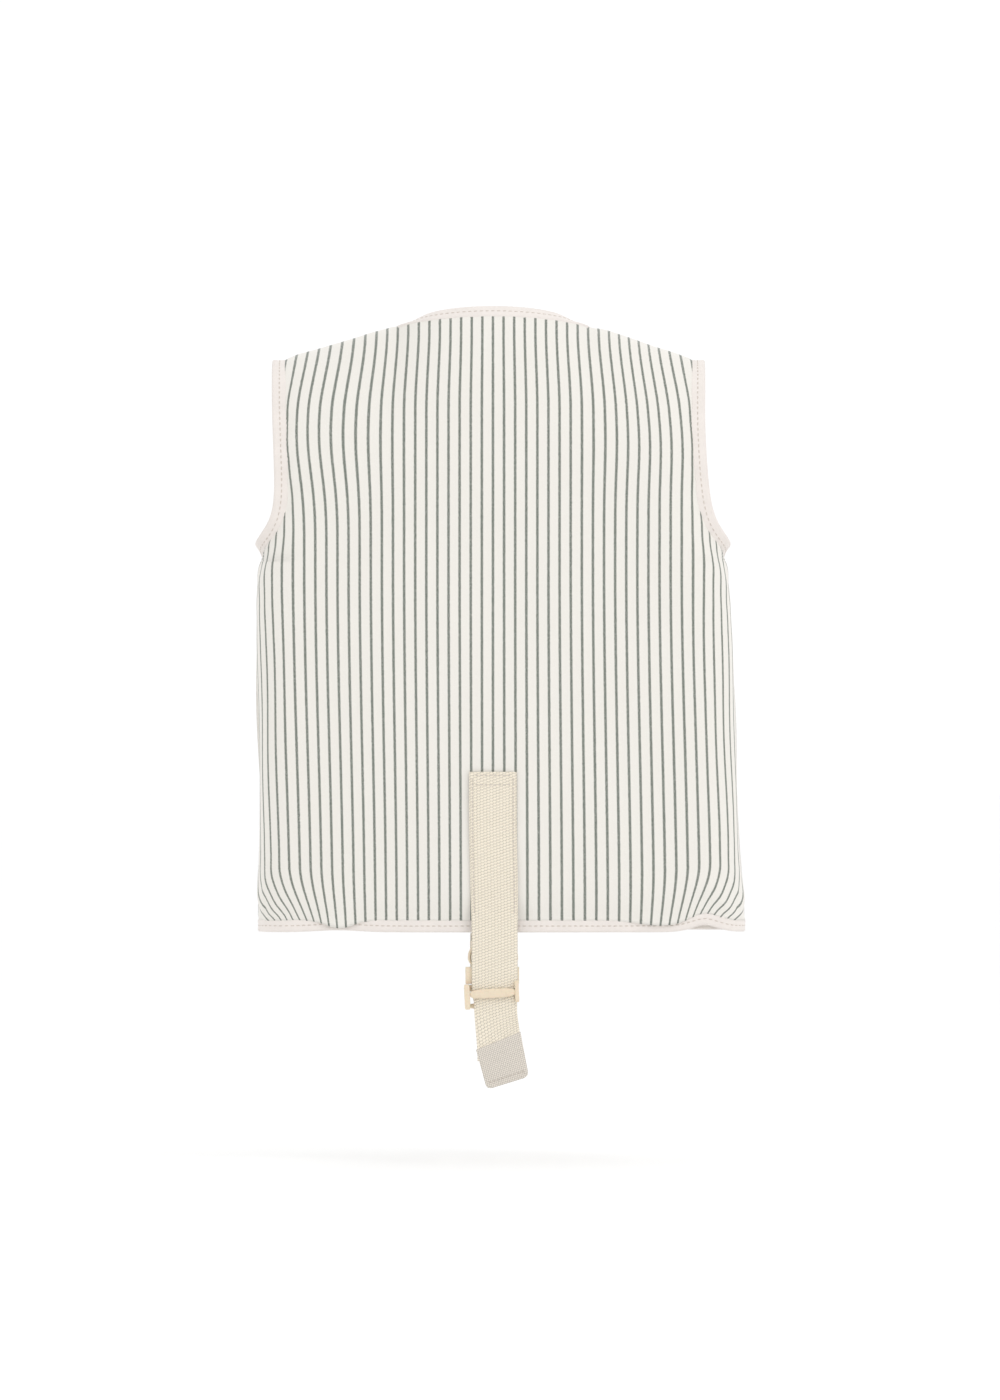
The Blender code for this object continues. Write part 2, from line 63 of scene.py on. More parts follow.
# %% [markdown]
# ## The vest's form
# All the cloth pieces lie on one form, so it is written once. Across, the vest is a
# rounded rectangle: flat back, round side, straight side. Upwards, the back and the front
# turn over an elliptic arch and meet at the shoulder seam. A point on it is named by its
# girth (the distance round from the centre line), its height and its depth under the skin.

# %% Sizes read from the frame
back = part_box("back_outer")
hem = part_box("hem_binding")
HEM = hem[0][2]                                   # height of the hem
SEAM = 0.0                                        # the shoulder seam's neck end
TALL = SEAM - HEM
HEM_HALF = hem[1][0]
CHEST_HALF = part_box("armhole_binding_right")[1][0]
SHOULDER_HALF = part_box("shoulder_outer_right")[1][0] + 0.0025
SIDE_RADIUS = 0.028
CROWN = 0.006
HEM_DEPTH = -hem[0][1] - CROWN
CHEST_DEPTH = -back[0][1] - CROWN
ARCH_START = 0.290
ARMHOLE_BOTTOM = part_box("armhole_binding_right")[0][2] - HEM
NECK_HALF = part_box("neck_binding")[1][0] + 0.0004
NECK_RISE, NECK_ARCH = 0.0055, 0.050
SHOULDER_TIP = 0.3735
SPLIT = 0.352
FRONT_NECK = 0.345
SPLIT_HALF = 0.046                                # half the neckline at the split
TAPER_HEIGHT = 0.16
FLARE, FLARE_FADE = 0.0095, 0.0125
SHOULDER_FADE = 0.0115
ZIP_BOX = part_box("zip_tape_right")
ZIP_HALF = ZIP_BOX[1][0] + 0.0003
ZIP_Y = (ZIP_BOX[0][1] + ZIP_BOX[1][1]) / 2
BINDING = 0.0087
OUTER, LINING = 0.0025, 0.0020
FOAM_BACK, FOAM_FRONT = 0.019, 0.016
print("hem to shoulder", round(TALL, 4), "half widths", HEM_HALF, CHEST_HALF, SHOULDER_HALF)


# %% Half widths, depths and girths
def smooth(t):
    """Rises from 0 to 1 as 3t^2 - 2t^3."""
    t = np.clip(t, 0, 1)
    return t * t * (3 - 2 * t)


def half_width(z):
    """Straight taper from the hem's half width to the chest's, with a small flare below.

    The flare makes up for the edge's pinch, so the side stays straight down to its corner.
    """
    flare = FLARE * np.exp(-np.clip(z, 0, None) / FLARE_FADE)
    return HEM_HALF + (CHEST_HALF - HEM_HALF) * np.clip(z / ARMHOLE_BOTTOM, 0, 1) + flare


def half_depth(z):
    """Straight taper from the hem's depth to the chest's over the lowest 160 mm."""
    return HEM_DEPTH + (CHEST_DEPTH - HEM_DEPTH) * np.clip(z / TAPER_HEIGHT, 0, 1)


def half_girth(z):
    """Flat back, plus a quarter turn of the side radius, plus the side's straight."""
    flat = half_width(z) - SIDE_RADIUS
    return flat + math.pi / 2 * SIDE_RADIUS + half_depth(z) - SIDE_RADIUS


print("half width at the chest", round(float(half_width(ARMHOLE_BOTTOM)), 4), "m")

# %% Edges of the cloth
def armhole_edge(z):
    """Girth of the fabric's edge: the side seam, then an exponential drop to the shoulder."""
    rise = np.clip(z - ARMHOLE_BOTTOM, 0, None)
    return SHOULDER_HALF + (half_girth(z) - SHOULDER_HALF) * np.exp(-rise / SHOULDER_FADE)


def shoulder_line(x):
    """Height of the arch's crest: a straight slope outside the neck, a parabola inside."""
    x = np.abs(x)
    slope = (SHOULDER_TIP - TALL) / (SHOULDER_HALF - NECK_HALF)
    inside = 1 - (x / NECK_HALF) ** 2
    return np.where(x < NECK_HALF, TALL + (NECK_RISE + NECK_ARCH) * inside,
                    TALL + slope * (x - NECK_HALF))


def back_top(x):
    """Height of the back's upper edge: a low parabola in the neck, then the seam."""
    inside = np.clip(1 - (np.abs(x) / NECK_HALF) ** 2, 0, None)
    return np.where(np.abs(x) < NECK_HALF, TALL + NECK_RISE * inside, shoulder_line(x))


def front_neck(z):
    """Half width of the front neckline, a straight line from the split to the seam."""
    share = np.clip((z - SPLIT) / (TALL - SPLIT), 0, 1)
    return SPLIT_HALF + (NECK_HALF - SPLIT_HALF) * share


print("half the back's width at the shoulder", round(float(armhole_edge(SHOULDER_TIP)), 4), "m")

# %% How the vest hangs
SHOULDER_LIFT = 0.0042


def lay(points, z):
    """How this vest happens to hang: the hem leans right, and its edge lifts in two places.

    x gains a share of its own size that fades upwards, and the shoulders' ends shift left;
    z gains two bell curves near the hem.
    """
    x = points[..., 0]
    low = 1 - smooth(z / 0.24)
    lean = 0.0058 * low * np.abs(x) / HEM_HALF
    fade = np.exp(-np.clip(z, 0, None) / 0.045)
    behind = smooth(-points[..., 1] / 0.03)
    lift = (0.0062 * np.exp(-((x - 0.1335) / 0.0115) ** 2)
            + 0.0016 * np.exp(-((x + 0.105) / 0.02) ** 2))
    high = 0.0029 * smooth((z - 0.26) / 0.09) * smooth((np.abs(x) - 0.07) / 0.05)
    points[..., 0] = x + lean - high
    points[..., 2] += lift * fade * behind
    return points


print("shoulders raised by", SHOULDER_LIFT, "m")

# %% Points of the form
def skin(girth, z, depth, side, crest):
    """Points of the form, raised to the frame's origin.

    x and y follow the rounded rectangle; y is scaled by sqrt(1 - t^2) over the arch, where
    t is the share of the arch's height. side is -1 for the back and 1 for the front.
    """
    sign = np.sign(girth)
    girth = np.abs(girth)
    flat = half_width(z) - SIDE_RADIUS
    radius = SIDE_RADIUS - depth
    angle = np.clip((girth - flat) / SIDE_RADIUS, 0, math.pi / 2)
    down = np.clip(girth - flat - math.pi / 2 * SIDE_RADIUS, 0, None)
    x = np.minimum(girth, flat) + radius * np.sin(angle)
    y = half_depth(z) - SIDE_RADIUS + radius * np.cos(angle) - down
    y = y + CROWN * np.clip(1 - (girth / flat) ** 2, 0, None)
    share = np.clip((z - ARCH_START) / (crest - ARCH_START), 0, 1)
    y = y * np.sqrt(1 - share ** 2)
    if side > 0:
        bulge = half_depth(z) + CROWN - 0.0028
        neck_share = np.clip((z - ARCH_START) / (TALL - ARCH_START), 0, 1)
        bulge = bulge * np.sqrt(1 - neck_share ** 2)
        y = y + (ZIP_Y - bulge) * np.exp(-((girth - ZIP_HALF) / 0.030) ** 2)
    raised = z + SHOULDER_LIFT * smooth((z - 0.30) / 0.075) - depth * share
    points = np.stack([sign * x, side * y, raised + HEM + 0 * x], axis=-1)
    return lay(points, z)


print("form ready: girth at the hem", round(float(half_girth(0.0)) * 4, 3), "m")

# %% [markdown]
# ## From surfaces to meshes
# A grid of points becomes a mesh in one call. A cloth layer has two faces, so the helper
# closes an outer and an inner grid with a rim. The cloth coordinates go into a UV map, in
# metres, so that stripes and weaves keep their real size.


# %% Faces of grids and rings
def grid_faces(rows, columns):
    """Quads of a grid whose point (i, j) has number i * columns + j."""
    index = np.arange(rows * columns).reshape(rows, columns)
    return np.stack([index[:-1, :-1], index[:-1, 1:], index[1:, 1:], index[1:, :-1]],
                    axis=-1).reshape(-1, 4)


def ring_faces(index):
    """Quads between each row of a table of point numbers and the next; a row is a ring."""
    after = np.roll(index, -1, axis=1)
    return np.stack([index[:-1], after[:-1], after[1:], index[1:]], axis=-1).reshape(-1, 4)


def copied(cell, size, count):
    """Faces of count copies of one small shape that has size points."""
    return (cell[None] + size * np.arange(count)[:, None, None]).reshape(-1, 4)


def bent(value, power):
    """A signed power. Below 1 it makes a rounded rectangle out of a circle."""
    return np.sign(value) * np.abs(value) ** power


print("a grid of 3 by 3 points has", len(grid_faces(3, 3)), "faces")

# %% Objects from points
def mesh_object(name, points, polygons, material, uv=None):
    """Make a smooth-shaded object. uv holds one pair for each point."""
    mesh = bpy.data.meshes.new(name)
    mesh.from_pydata(points.reshape(-1, 3).tolist(), [], polygons)
    mesh.materials.append(material)
    if uv is not None:
        corner = np.empty(len(mesh.loops), dtype=np.int64)
        mesh.loops.foreach_get("vertex_index", corner)
        layer = mesh.uv_layers.new(name="cloth")
        layer.data.foreach_set("uv", uv.reshape(-1, 2)[corner].astype(np.float32).ravel())
    mesh.shade_smooth()
    made = bpy.data.objects.new(name, mesh)
    bpy.context.scene.collection.objects.link(made)
    return made


def closed(name, outer, inner, material, uv=None):
    """A closed layer between two grids of the same size, with its rim.

    The rim's quads join matching border points of the two grids.
    """
    rows, columns = outer.shape[:2]
    count = rows * columns
    index = np.arange(count).reshape(rows, columns)
    top = grid_faces(rows, columns)
    rim = np.concatenate([index[0, :-1], index[:-1, -1], index[-1, :0:-1], index[:0:-1, 0]])
    after = np.roll(rim, -1)
    side = np.stack([after, rim, rim + count, after + count], axis=-1)
    faces = np.concatenate([top, top[:, ::-1] + count, side])
    both = None if uv is None else np.concatenate([uv.reshape(-1, 2)] * 2)
    points = np.concatenate([outer.reshape(-1, 3), inner.reshape(-1, 3)])
    return mesh_object(name, points, faces.tolist(), material, both)


def tube(name, rings, material, uv=None, close=False):
    """Carry a closed profile along a path: rings[i, j] is profile point j at step i.

    A flat face closes each end, or the last ring joins the first if close is set.
    """
    index = np.arange(rings.shape[0] * rings.shape[1]).reshape(rings.shape[:2])
    ends = [index[0, ::-1].tolist(), index[-1].tolist()]
    if close:
        index = np.concatenate([index, index[:1]])
        ends = []
    return mesh_object(name, rings, ring_faces(index).tolist() + ends, material, uv)


def signed_volume(obj):
    """Sum over the triangles of a . (b x c) / 6; positive when faces point outwards."""
    mesh = obj.data
    mesh.calc_loop_triangles()
    corners = np.empty(len(mesh.loop_triangles) * 3, dtype=np.int64)
    mesh.loop_triangles.foreach_get("vertices", corners)
    points = np.empty(len(mesh.vertices) * 3)
    mesh.vertices.foreach_get("co", points)
    a, b, c = points.reshape(-1, 3)[corners.reshape(-1, 3)].transpose(1, 0, 2)
    return float((a * np.cross(b, c)).sum() / 6)


def outward(obj):
    """Turn an inside-out closed piece round, so every face points out."""
    if signed_volume(obj) < 0:
        obj.data.flip_normals()
    return obj


def dress(piece, nodes, body):
    """Let a piece stand for nodes of the frame, which are hidden, and give it its body."""
    if nodes:
        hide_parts(*nodes)
    body(piece)


def riding(body):
    """For pieces that move with one body as a whole."""
    return lambda piece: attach(piece, body)


# %% [markdown]
# ## Finishes
# Cream knit-faced neoprene is printed with thin upright stripes. The stripes are worked out
# in the material from the cloth's own coordinates, because a stripe printed on cloth bends
# with it. Distance from the nearest stripe's middle is the distance of u / pitch from a
# whole number, times the pitch; a soft step of that distance gives the line.

# %% Materials and their numbers
def finish(name, colour, roughness, sheen=0.0, specular=0.3, subsurface=0.0):
    """A Principled material, its uniform values set on the shader's own sockets."""
    made = bpy.data.materials.new(name)
    made.use_nodes = True
    shader = made.node_tree.nodes["Principled BSDF"]
    shader.inputs["Base Color"].default_value = (*colour, 1.0)
    shader.inputs["Roughness"].default_value = roughness
    shader.inputs["Sheen Weight"].default_value = sheen
    shader.inputs["Sheen Roughness"].default_value = 0.5
    shader.inputs["Specular IOR Level"].default_value = specular
    shader.inputs["Subsurface Weight"].default_value = subsurface
    shader.inputs["Subsurface Scale"].default_value = 0.002
    return made, made.node_tree, shader


def step(tree, operation, first, second=None, third=None):
    """A Math node; each input is a number or a socket."""
    node = tree.nodes.new("ShaderNodeMath")
    node.operation = operation
    for socket, value in zip(node.inputs, (first, second, third)):
        if value is None:
            continue
        if isinstance(value, (int, float)):
            socket.default_value = value
        else:
            tree.links.new(value, socket)
    return node.outputs[0]


def soften(tree, value, low, high, start=0.0, end=1.0):
    """A smooth step of value between low and high, from start to end."""
    node = tree.nodes.new("ShaderNodeMapRange")
    node.interpolation_type = "SMOOTHSTEP"
    for key, number in (("From Min", low), ("From Max", high), ("To Min", start), ("To Max", end)):
        node.inputs[key].default_value = number
    tree.links.new(value, node.inputs["Value"])
    return node.outputs[0]


# %% Coordinates and noise
def cloth_axes(tree):
    """The u and v of the cloth, in metres."""
    source = tree.nodes.new("ShaderNodeUVMap")
    source.uv_map = "cloth"
    split = tree.nodes.new("ShaderNodeSeparateXYZ")
    tree.links.new(source.outputs[0], split.inputs[0])
    return source.outputs[0], split.outputs[0], split.outputs[1]


def speckle(tree, vector, scale, detail=2.0, rough=0.5):
    """Noise with features about one over scale metres across."""
    node = tree.nodes.new("ShaderNodeTexNoise")
    node.inputs["Scale"].default_value = scale
    node.inputs["Detail"].default_value = detail
    node.inputs["Roughness"].default_value = rough
    tree.links.new(vector, node.inputs["Vector"])
    return node.outputs["Fac"]


# %% Colour and relief
def mix(tree, share, first, second):
    """Blend two colours by a share; each colour is a triple or a socket."""
    node = tree.nodes.new("ShaderNodeMix")
    node.data_type = "RGBA"
    tree.links.new(share, node.inputs["Factor"])
    for key, value in (("A", first), ("B", second)):
        socket = [i for i in node.inputs if i.name == key and i.type == "RGBA"][0]
        if isinstance(value, tuple):
            socket.default_value = (*value, 1.0)
        else:
            tree.links.new(value, socket)
    return [o for o in node.outputs if o.type == "RGBA"][0]


def relief(tree, shader, height, distance, strength=1.0):
    """Bump from a height between 0 and 1, a distance deep."""
    node = tree.nodes.new("ShaderNodeBump")
    node.inputs["Strength"].default_value = strength
    node.inputs["Distance"].default_value = distance
    tree.links.new(height, node.inputs["Height"])
    tree.links.new(node.outputs[0], shader.inputs["Normal"])


def object_place(tree):
    """Object coordinates, for finishes without a grain that follows the cloth."""
    return tree.nodes.new("ShaderNodeTexCoord").outputs["Object"]


def paint(tree, shader, share, first, second):
    """Use a blend of two colours as the base colour."""
    tree.links.new(mix(tree, share, first, second), shader.inputs["Base Color"])


def wave(tree, value, length):
    """The sine of a coordinate, with a wave length in metres."""
    return step(tree, "SINE", step(tree, "MULTIPLY", value, 2 * math.pi / length))


def crossed(tree, first, second):
    """The product of two waves, brought between 0 and 1."""
    return step(tree, "MULTIPLY_ADD", step(tree, "MULTIPLY", first, second), 0.5, 0.5)


def tinted(colour, factor):
    """A colour made darker or lighter, with no channel above 1."""
    return tuple(min(1, factor * channel) for channel in colour)


# %% Striped neoprene
STRIPE_PITCH, STRIPE_HALF = 0.00724, 0.00080
CREAM_CLOTH = (0.785, 0.760, 0.712)
STRIPE_GREEN = (0.128, 0.150, 0.126)


def striped_neoprene():
    """Cream knit with thin grey-green lines, a fine knit relief and a few bright specks."""
    made, tree, shader = finish("striped_neoprene", CREAM_CLOTH, 0.82, 0.25, 0.2)
    cloth, u, v = cloth_axes(tree)
    wander = step(tree, "MULTIPLY_ADD", speckle(tree, cloth, 900.0), 0.0006, -0.0003)
    turns = step(tree, "DIVIDE", step(tree, "ADD", u, wander), STRIPE_PITCH)
    off = step(tree, "ABSOLUTE", step(tree, "SUBTRACT", turns, step(tree, "ROUND", turns)))
    off = step(tree, "MULTIPLY", off, STRIPE_PITCH)
    line = soften(tree, off, STRIPE_HALF - 0.00022, STRIPE_HALF + 0.00030, 1.0, 0.0)
    worn = soften(tree, speckle(tree, cloth, 1500.0), 0.30, 0.62, 0.72, 1.0)
    ink = step(tree, "MULTIPLY", line, worn)
    shade = soften(tree, speckle(tree, cloth, 14.0), 0.3, 0.7, 0.0, 0.12)
    ground = mix(tree, shade, CREAM_CLOTH, (0.73, 0.705, 0.65))
    printed = mix(tree, ink, ground, STRIPE_GREEN)
    bright = soften(tree, speckle(tree, cloth, 2300.0, 0.0), 0.70, 0.76, 0.0, 0.65)
    paint(tree, shader, bright, printed, (0.93, 0.93, 0.90))
    knit = crossed(tree, wave(tree, v, 0.0008), wave(tree, u, 0.0007))
    height = step(tree, "ADD", step(tree, "MULTIPLY", knit, 0.5), speckle(tree, cloth, 1200.0))
    relief(tree, shader, height, 0.00012, 0.7)
    return made


# %% Plain knit
def knit_cloth(name, colour, sheen=0.2, grain=0.0007, depth=0.00012):
    """Plain knit: a fine check of two sines, with a slow change of tone."""
    made, tree, shader = finish(name, colour, 0.85, sheen, 0.2)
    cloth, u, v = cloth_axes(tree)
    tone = soften(tree, speckle(tree, cloth, 60.0), 0.3, 0.7, 0.0, 0.5)
    paint(tree, shader, tone, colour, tinted(colour, 0.93))
    knit = crossed(tree, wave(tree, v, grain), wave(tree, u, grain))
    height = step(tree, "ADD", knit, speckle(tree, cloth, 900.0))
    relief(tree, shader, height, depth, 0.6)
    return made


# %% Webbing
def webbing_cloth():
    """Coarse webbing: upright ribs crossed by short picks that shift from rib to rib."""
    colour = (0.790, 0.720, 0.600)
    made, tree, shader = finish("webbing", colour, 0.88, 0.2, 0.25)
    cloth, u, v = cloth_axes(tree)
    rib = step(tree, "MULTIPLY", u, 1 / 0.0021)
    odd = step(tree, "MULTIPLY", step(tree, "FLOOR", rib), 0.37)
    across = step(tree, "ABSOLUTE", step(tree, "SINE", step(tree, "MULTIPLY", rib, math.pi)))
    pick = step(tree, "SINE", step(tree, "MULTIPLY", step(
        tree, "ADD", step(tree, "MULTIPLY", v, 1 / 0.0019), odd), 2 * math.pi))
    pick = step(tree, "MULTIPLY_ADD", pick, 0.5, 0.5)
    weave = step(tree, "MULTIPLY_ADD", across, 0.35, step(tree, "MULTIPLY", pick, 0.75))
    fuzz = speckle(tree, cloth, 1400.0)
    height = step(tree, "MULTIPLY_ADD", fuzz, 0.5, weave)
    # Painted shade and painted light: the colour is darker where the weave is low and lighter
    # where it is high.
    low = soften(tree, height, 0.25, 0.95, 0.0, 1.0)
    # Painted glints: a few random specks painted bright.
    painted_glint = soften(tree, speckle(tree, cloth, 1700.0, 0.0), 0.68, 0.75, 0.0, 0.6)
    tone = mix(tree, low, tinted(colour, 0.64), tinted(colour, 1.12))
    paint(tree, shader, painted_glint, tone, (0.90, 0.87, 0.80))
    relief(tree, shader, height, 0.00045, 0.9)
    return made


# %% Woven tab
def woven_tab():
    """Grey-beige tape with a fine diamond weave: two diagonal waves multiplied."""
    colour = (0.660, 0.610, 0.545)
    made, tree, shader = finish("woven_tab", colour, 0.80, 0.2, 0.3)
    cloth, u, v = cloth_axes(tree)
    weave = crossed(tree, wave(tree, step(tree, "ADD", u, v), 0.0024),
                    wave(tree, step(tree, "SUBTRACT", u, v), 0.0024))
    # Painted shade and painted light: the colour is darker where the diamond weave is low and
    # lighter where it is high.
    low = soften(tree, weave, 0.15, 0.85, 0.0, 1.0)
    paint(tree, shader, low, tinted(colour, 0.76), tinted(colour, 1.22))
    relief(tree, shader, step(tree, "MULTIPLY_ADD", speckle(tree, cloth, 1500.0), 0.3, weave),
           0.0003, 0.9)
    return made


# %% Moulded plastic and foam
def moulded(name, colour, roughness, grain=0.00003):
    """Moulded plastic with a faint grain and slow changes of gloss."""
    made, tree, shader = finish(name, colour, roughness, 0.0, 0.5, 0.08)
    place = object_place(tree)
    gloss = soften(tree, speckle(tree, place, 220.0), 0.3, 0.7, roughness - 0.06, roughness + 0.08)
    tree.links.new(gloss, shader.inputs["Roughness"])
    tone = soften(tree, speckle(tree, place, 90.0), 0.3, 0.7, 0.0, 0.35)
    paint(tree, shader, tone, colour, tinted(colour, 0.95))
    relief(tree, shader, speckle(tree, place, 1800.0), grain, 0.5)
    return made


def cell_foam():
    """Closed-cell foam: pale, with pinprick cells."""
    made, tree, shader = finish("float_foam", (0.86, 0.86, 0.84), 0.9, 0.0, 0.2)
    place = object_place(tree)
    relief(tree, shader, speckle(tree, place, 1500.0, 3.0), 0.0003, 0.8)
    tone = soften(tree, speckle(tree, place, 700.0), 0.3, 0.7)
    paint(tree, shader, tone, (0.86, 0.86, 0.84), (0.78, 0.78, 0.76))
    return made


# %% The vest's finishes
STRIPED = striped_neoprene()
BOUND = knit_cloth("cream_binding", (0.810, 0.755, 0.715), 0.3, 0.0009, 0.00015)
LINER = knit_cloth("lining_knit", (0.84, 0.82, 0.76), 0.2)
THREAD = knit_cloth("stitching_thread", (0.62, 0.56, 0.50), 0.2, 0.0004, 0.0001)
WEBBING = webbing_cloth()
TAB = woven_tab()
PLASTIC = moulded("buckle_plastic", (0.77, 0.655, 0.495), 0.30)
ZIP_PLASTIC = moulded("zip_plastic", (0.85, 0.82, 0.75), 0.38)
FOAM = cell_foam()
print("finishes:", [made.name for made in (STRIPED, BOUND, LINER, THREAD, WEBBING, TAB, PLASTIC,
                                            ZIP_PLASTIC, FOAM)])

# %% [markdown]
# ## Padded panels
# Each panel is an outer layer, a foam pad and a lining. Near an edge the layers come
# together under the binding, so the skin sinks by a bell curve of the distance to the edge,
# and the foam grows to its full thickness further in. Slow waves keep the neoprene from
# looking like a board, and short ones gather it at the hem's corners.

# %% Distance to the edges
PINCH = 0.0042


def pinch(z):
    """How far the edge's layers sink: 4.2 mm, and less where the shoulders are thin."""
    return PINCH * (1 - 0.62 * smooth((z - 0.325) / 0.05))


def edge_distance(girth, z, *lines):
    """Smallest distance, in the cloth, from each point to the sampled edge lines."""
    here = np.stack([np.abs(girth), z], axis=-1).reshape(-1, 1, 2)
    best = np.full(here.shape[0], 9.0)
    for line in lines:
        for part in np.array_split(line, max(1, len(line) // 40)):
            gap = np.linalg.norm(here - part[None], axis=-1).min(axis=1)
            best = np.minimum(best, gap)
    return best.reshape(girth.shape)


def armhole_line():
    """The armhole's edge as girth and height."""
    z = ARMHOLE_BOTTOM + (SHOULDER_TIP - ARMHOLE_BOTTOM) * np.linspace(0, 1, 160) ** 2
    return np.stack([armhole_edge(z), z], axis=-1)


print("layers sink", round(float(pinch(0.0)), 4), "m at the hem")

# %% Waves, gathers and dips
def waves(girth, z):
    """Slow swells of the padding: five sines of different slants, under a millimetre each."""
    total = 0.0
    for height, per_girth, per_z, phase in (
            (0.0009, 21.0, 17.0, 0.4), (0.0008, -33.0, 12.0, 2.1), (0.0006, 47.0, -29.0, 4.0),
            (0.0004, 70.0, 41.0, 1.3), (0.0003, -96.0, 63.0, 5.2)):
        total = total + height * np.sin(per_girth * girth + per_z * z + phase)
    return total


def gathers(girth, z, away):
    """Short creases that fan out from the hem's corners and fade into the panel."""
    corner = half_girth(0.0) - 0.045
    reach = np.exp(-((np.abs(girth) - corner) / 0.045) ** 2) * np.exp(-away / 0.016)
    slant = np.abs(girth) * 210.0 + 260.0 * z * np.sign(corner - np.abs(girth))
    small = np.exp(-away / 0.010) * 0.0005 * np.sin(150.0 * girth + 30.0 * np.sin(9.0 * girth))
    return 0.0011 * reach * np.sin(slant) + small


def skin_dip(girth, z, away):
    """Depth of the outer's face: a dip beside an edge, less the waves, and the gathers."""
    return (pinch(z) * np.exp(-(away / 0.0105) ** 1.6) - waves(girth, z) * smooth(away / 0.03)
            + gathers(girth, z, away) * smooth(away / 0.004))


def sag(girth, z):
    """How far the back's outer hangs over the hem binding, left and right of the middle."""
    left = 0.0062 * np.exp(-((girth + 0.104) / 0.013) ** 2)
    right = 0.0030 * np.exp(-((girth - 0.106) / 0.018) ** 2)
    return (left + right) * np.exp(-(z - BINDING) / 0.010)


def swell(z, away, foam):
    """Thickness of the foam: nothing at the edge, full 35 mm in, thin over the shoulders."""
    over = 1 - 0.93 * smooth((z - ARCH_START - 0.02) / 0.065)
    return foam * smooth((away - 0.004) / 0.032) * over


# %% Rows and columns of the back and the fronts
def back_grid(columns, rows):
    """Even columns from side to side; rows crowd towards the arch's crest."""
    across = np.linspace(-1, 1, columns)
    step_up = np.linspace(0, 1, rows)[:, None]
    top = back_top(across * SHOULDER_HALF)
    low = BINDING + (ARCH_START - BINDING) * step_up / 0.72
    high = ARCH_START + (top - ARCH_START) * np.sin((step_up - 0.72) / 0.28 * math.pi / 2)
    z = np.where(step_up < 0.72, low, high)
    return armhole_edge(z) * across, z, shoulder_line(across * SHOULDER_HALF)


def neckline_in(z):
    """The fronts' inner edge: beside the zip, then a quarter round, then the neck's slope."""
    turn = np.sqrt(np.clip((z - FRONT_NECK) / (SPLIT - FRONT_NECK), 0, 1))
    return np.where(z < SPLIT, ZIP_HALF + (SPLIT_HALF - ZIP_HALF) * turn, front_neck(z))


def front_grid(columns, rows):
    """Columns from the inner edge to the side; rows up to the shoulder seam."""
    across = np.linspace(0, 1, columns)
    crest = shoulder_line(NECK_HALF + (SHOULDER_HALF - NECK_HALF) * across)
    low = np.linspace(BINDING, 0.336, int(rows * 0.68))
    turn = np.linspace(0.337, SPLIT, int(rows * 0.12))
    lower = np.concatenate([low, turn])[:, None] + 0 * across
    start = np.arcsin((SPLIT - ARCH_START) / (crest - ARCH_START))
    part = np.linspace(0, 1, rows - len(lower) + 1)[1:, None]
    upper = ARCH_START + (crest - ARCH_START) * np.sin(start + (math.pi / 2 - start) * part)
    z = np.concatenate([lower, upper])
    inner = neckline_in(z)
    return inner + (armhole_edge(z) - inner) * across, z, crest


print("half the neckline at the seam", round(float(neckline_in(TALL)), 4), "m")

# %% Edge lines and cloth coordinates
def back_lines():
    """Sampled edges of the back: hem, armhole and neck."""
    girth = np.linspace(0, half_girth(0.0), 120)
    neck = np.linspace(0, NECK_HALF, 40)
    return (np.stack([girth, 0 * girth + BINDING], -1), armhole_line(),
            np.stack([neck, back_top(neck)], -1))


def front_lines():
    """Sampled edges of a front: hem, armhole, zip and neckline."""
    girth = np.linspace(ZIP_HALF, half_girth(0.0), 110)
    z = np.linspace(BINDING, TALL, 220)
    return (np.stack([girth, 0 * girth + BINDING], -1), armhole_line(),
            np.stack([neckline_in(z), z], -1))


def cloth_uv(girth, z):
    """Cloth coordinates, in metres, with the pulls that bend the stripes.

    The stripes close up towards the shoulders, bow beside the armholes and are dragged
    inwards over the hem's corners, by up to 24 mm some 50 mm in from the side.
    """
    sign = np.sign(girth)
    reach = np.abs(girth)
    closer = 0.045 * reach * smooth((z - 0.340) / 0.05)
    bow = -0.0028 * np.exp(-((z - 0.322) / 0.030) ** 2) * smooth((reach - 0.05) / 0.06)
    inwards = half_girth(0.0) - reach
    spread = np.where(inwards < 0.050, 0.021, 0.036)
    low = np.clip(1 - (z - BINDING) / 0.036, 0, 1)
    drag = 0.024 * np.exp(-((inwards - 0.050) / spread) ** 2) * low ** 2
    return np.stack([sign * (reach + closer + bow + drag), z + 0 * reach], axis=-1)


# %% A panel's three layers
LAYER_GAP, THINNEST_FOAM = 0.0002, 0.0001
SAG_OUT = 0.75


def panel(name, grid, lines, side, sign, foam_full, nodes, body):
    """Outer, foam and lining of one panel, each closed, with one depth over the other."""
    girth, z, crest = grid
    away = edge_distance(girth, z, *lines)
    dip = skin_dip(girth, z, away)
    pad = swell(z, away, foam_full)
    uv = cloth_uv(girth * sign, z)

    def face(depth, hang=0.0, rows=slice(None), columns=slice(None)):
        """The panel's points at a depth, let down by hang where the back sags."""
        part = (rows, columns)
        return skin((girth * sign)[part], (z - hang)[part], (depth + 0 * z)[part], side,
                    (crest + 0 * z)[part])

    hang = sag(girth * sign, z) * (side < 0)
    top = dip - SAG_OUT * hang
    outer = closed(name + "_outer_cloth", face(top, hang), face(top + OUTER, hang), STRIPED, uv)
    under = dip + OUTER + LAYER_GAP
    lining = under + pad + 2 * LAYER_GAP
    inner = closed(name + "_lining_cloth", face(lining), face(lining + LINING), LINER, uv)
    coarse = slice(5, -5, 2)
    core_top = under + np.maximum(pad - LAYER_GAP, THINNEST_FOAM)
    core = closed(name + "_foam_pad", face(under, 0.0, coarse, coarse),
                  face(core_top, 0.0, coarse, coarse), FOAM)
    pieces = {"outer": outer, "lining": inner, "foam": core}
    for key, piece in pieces.items():
        dress(outward(piece), nodes[key], body)
    print(name, {key: len(piece.data.polygons) for key, piece in pieces.items()})


with_back = riding("vest_back")


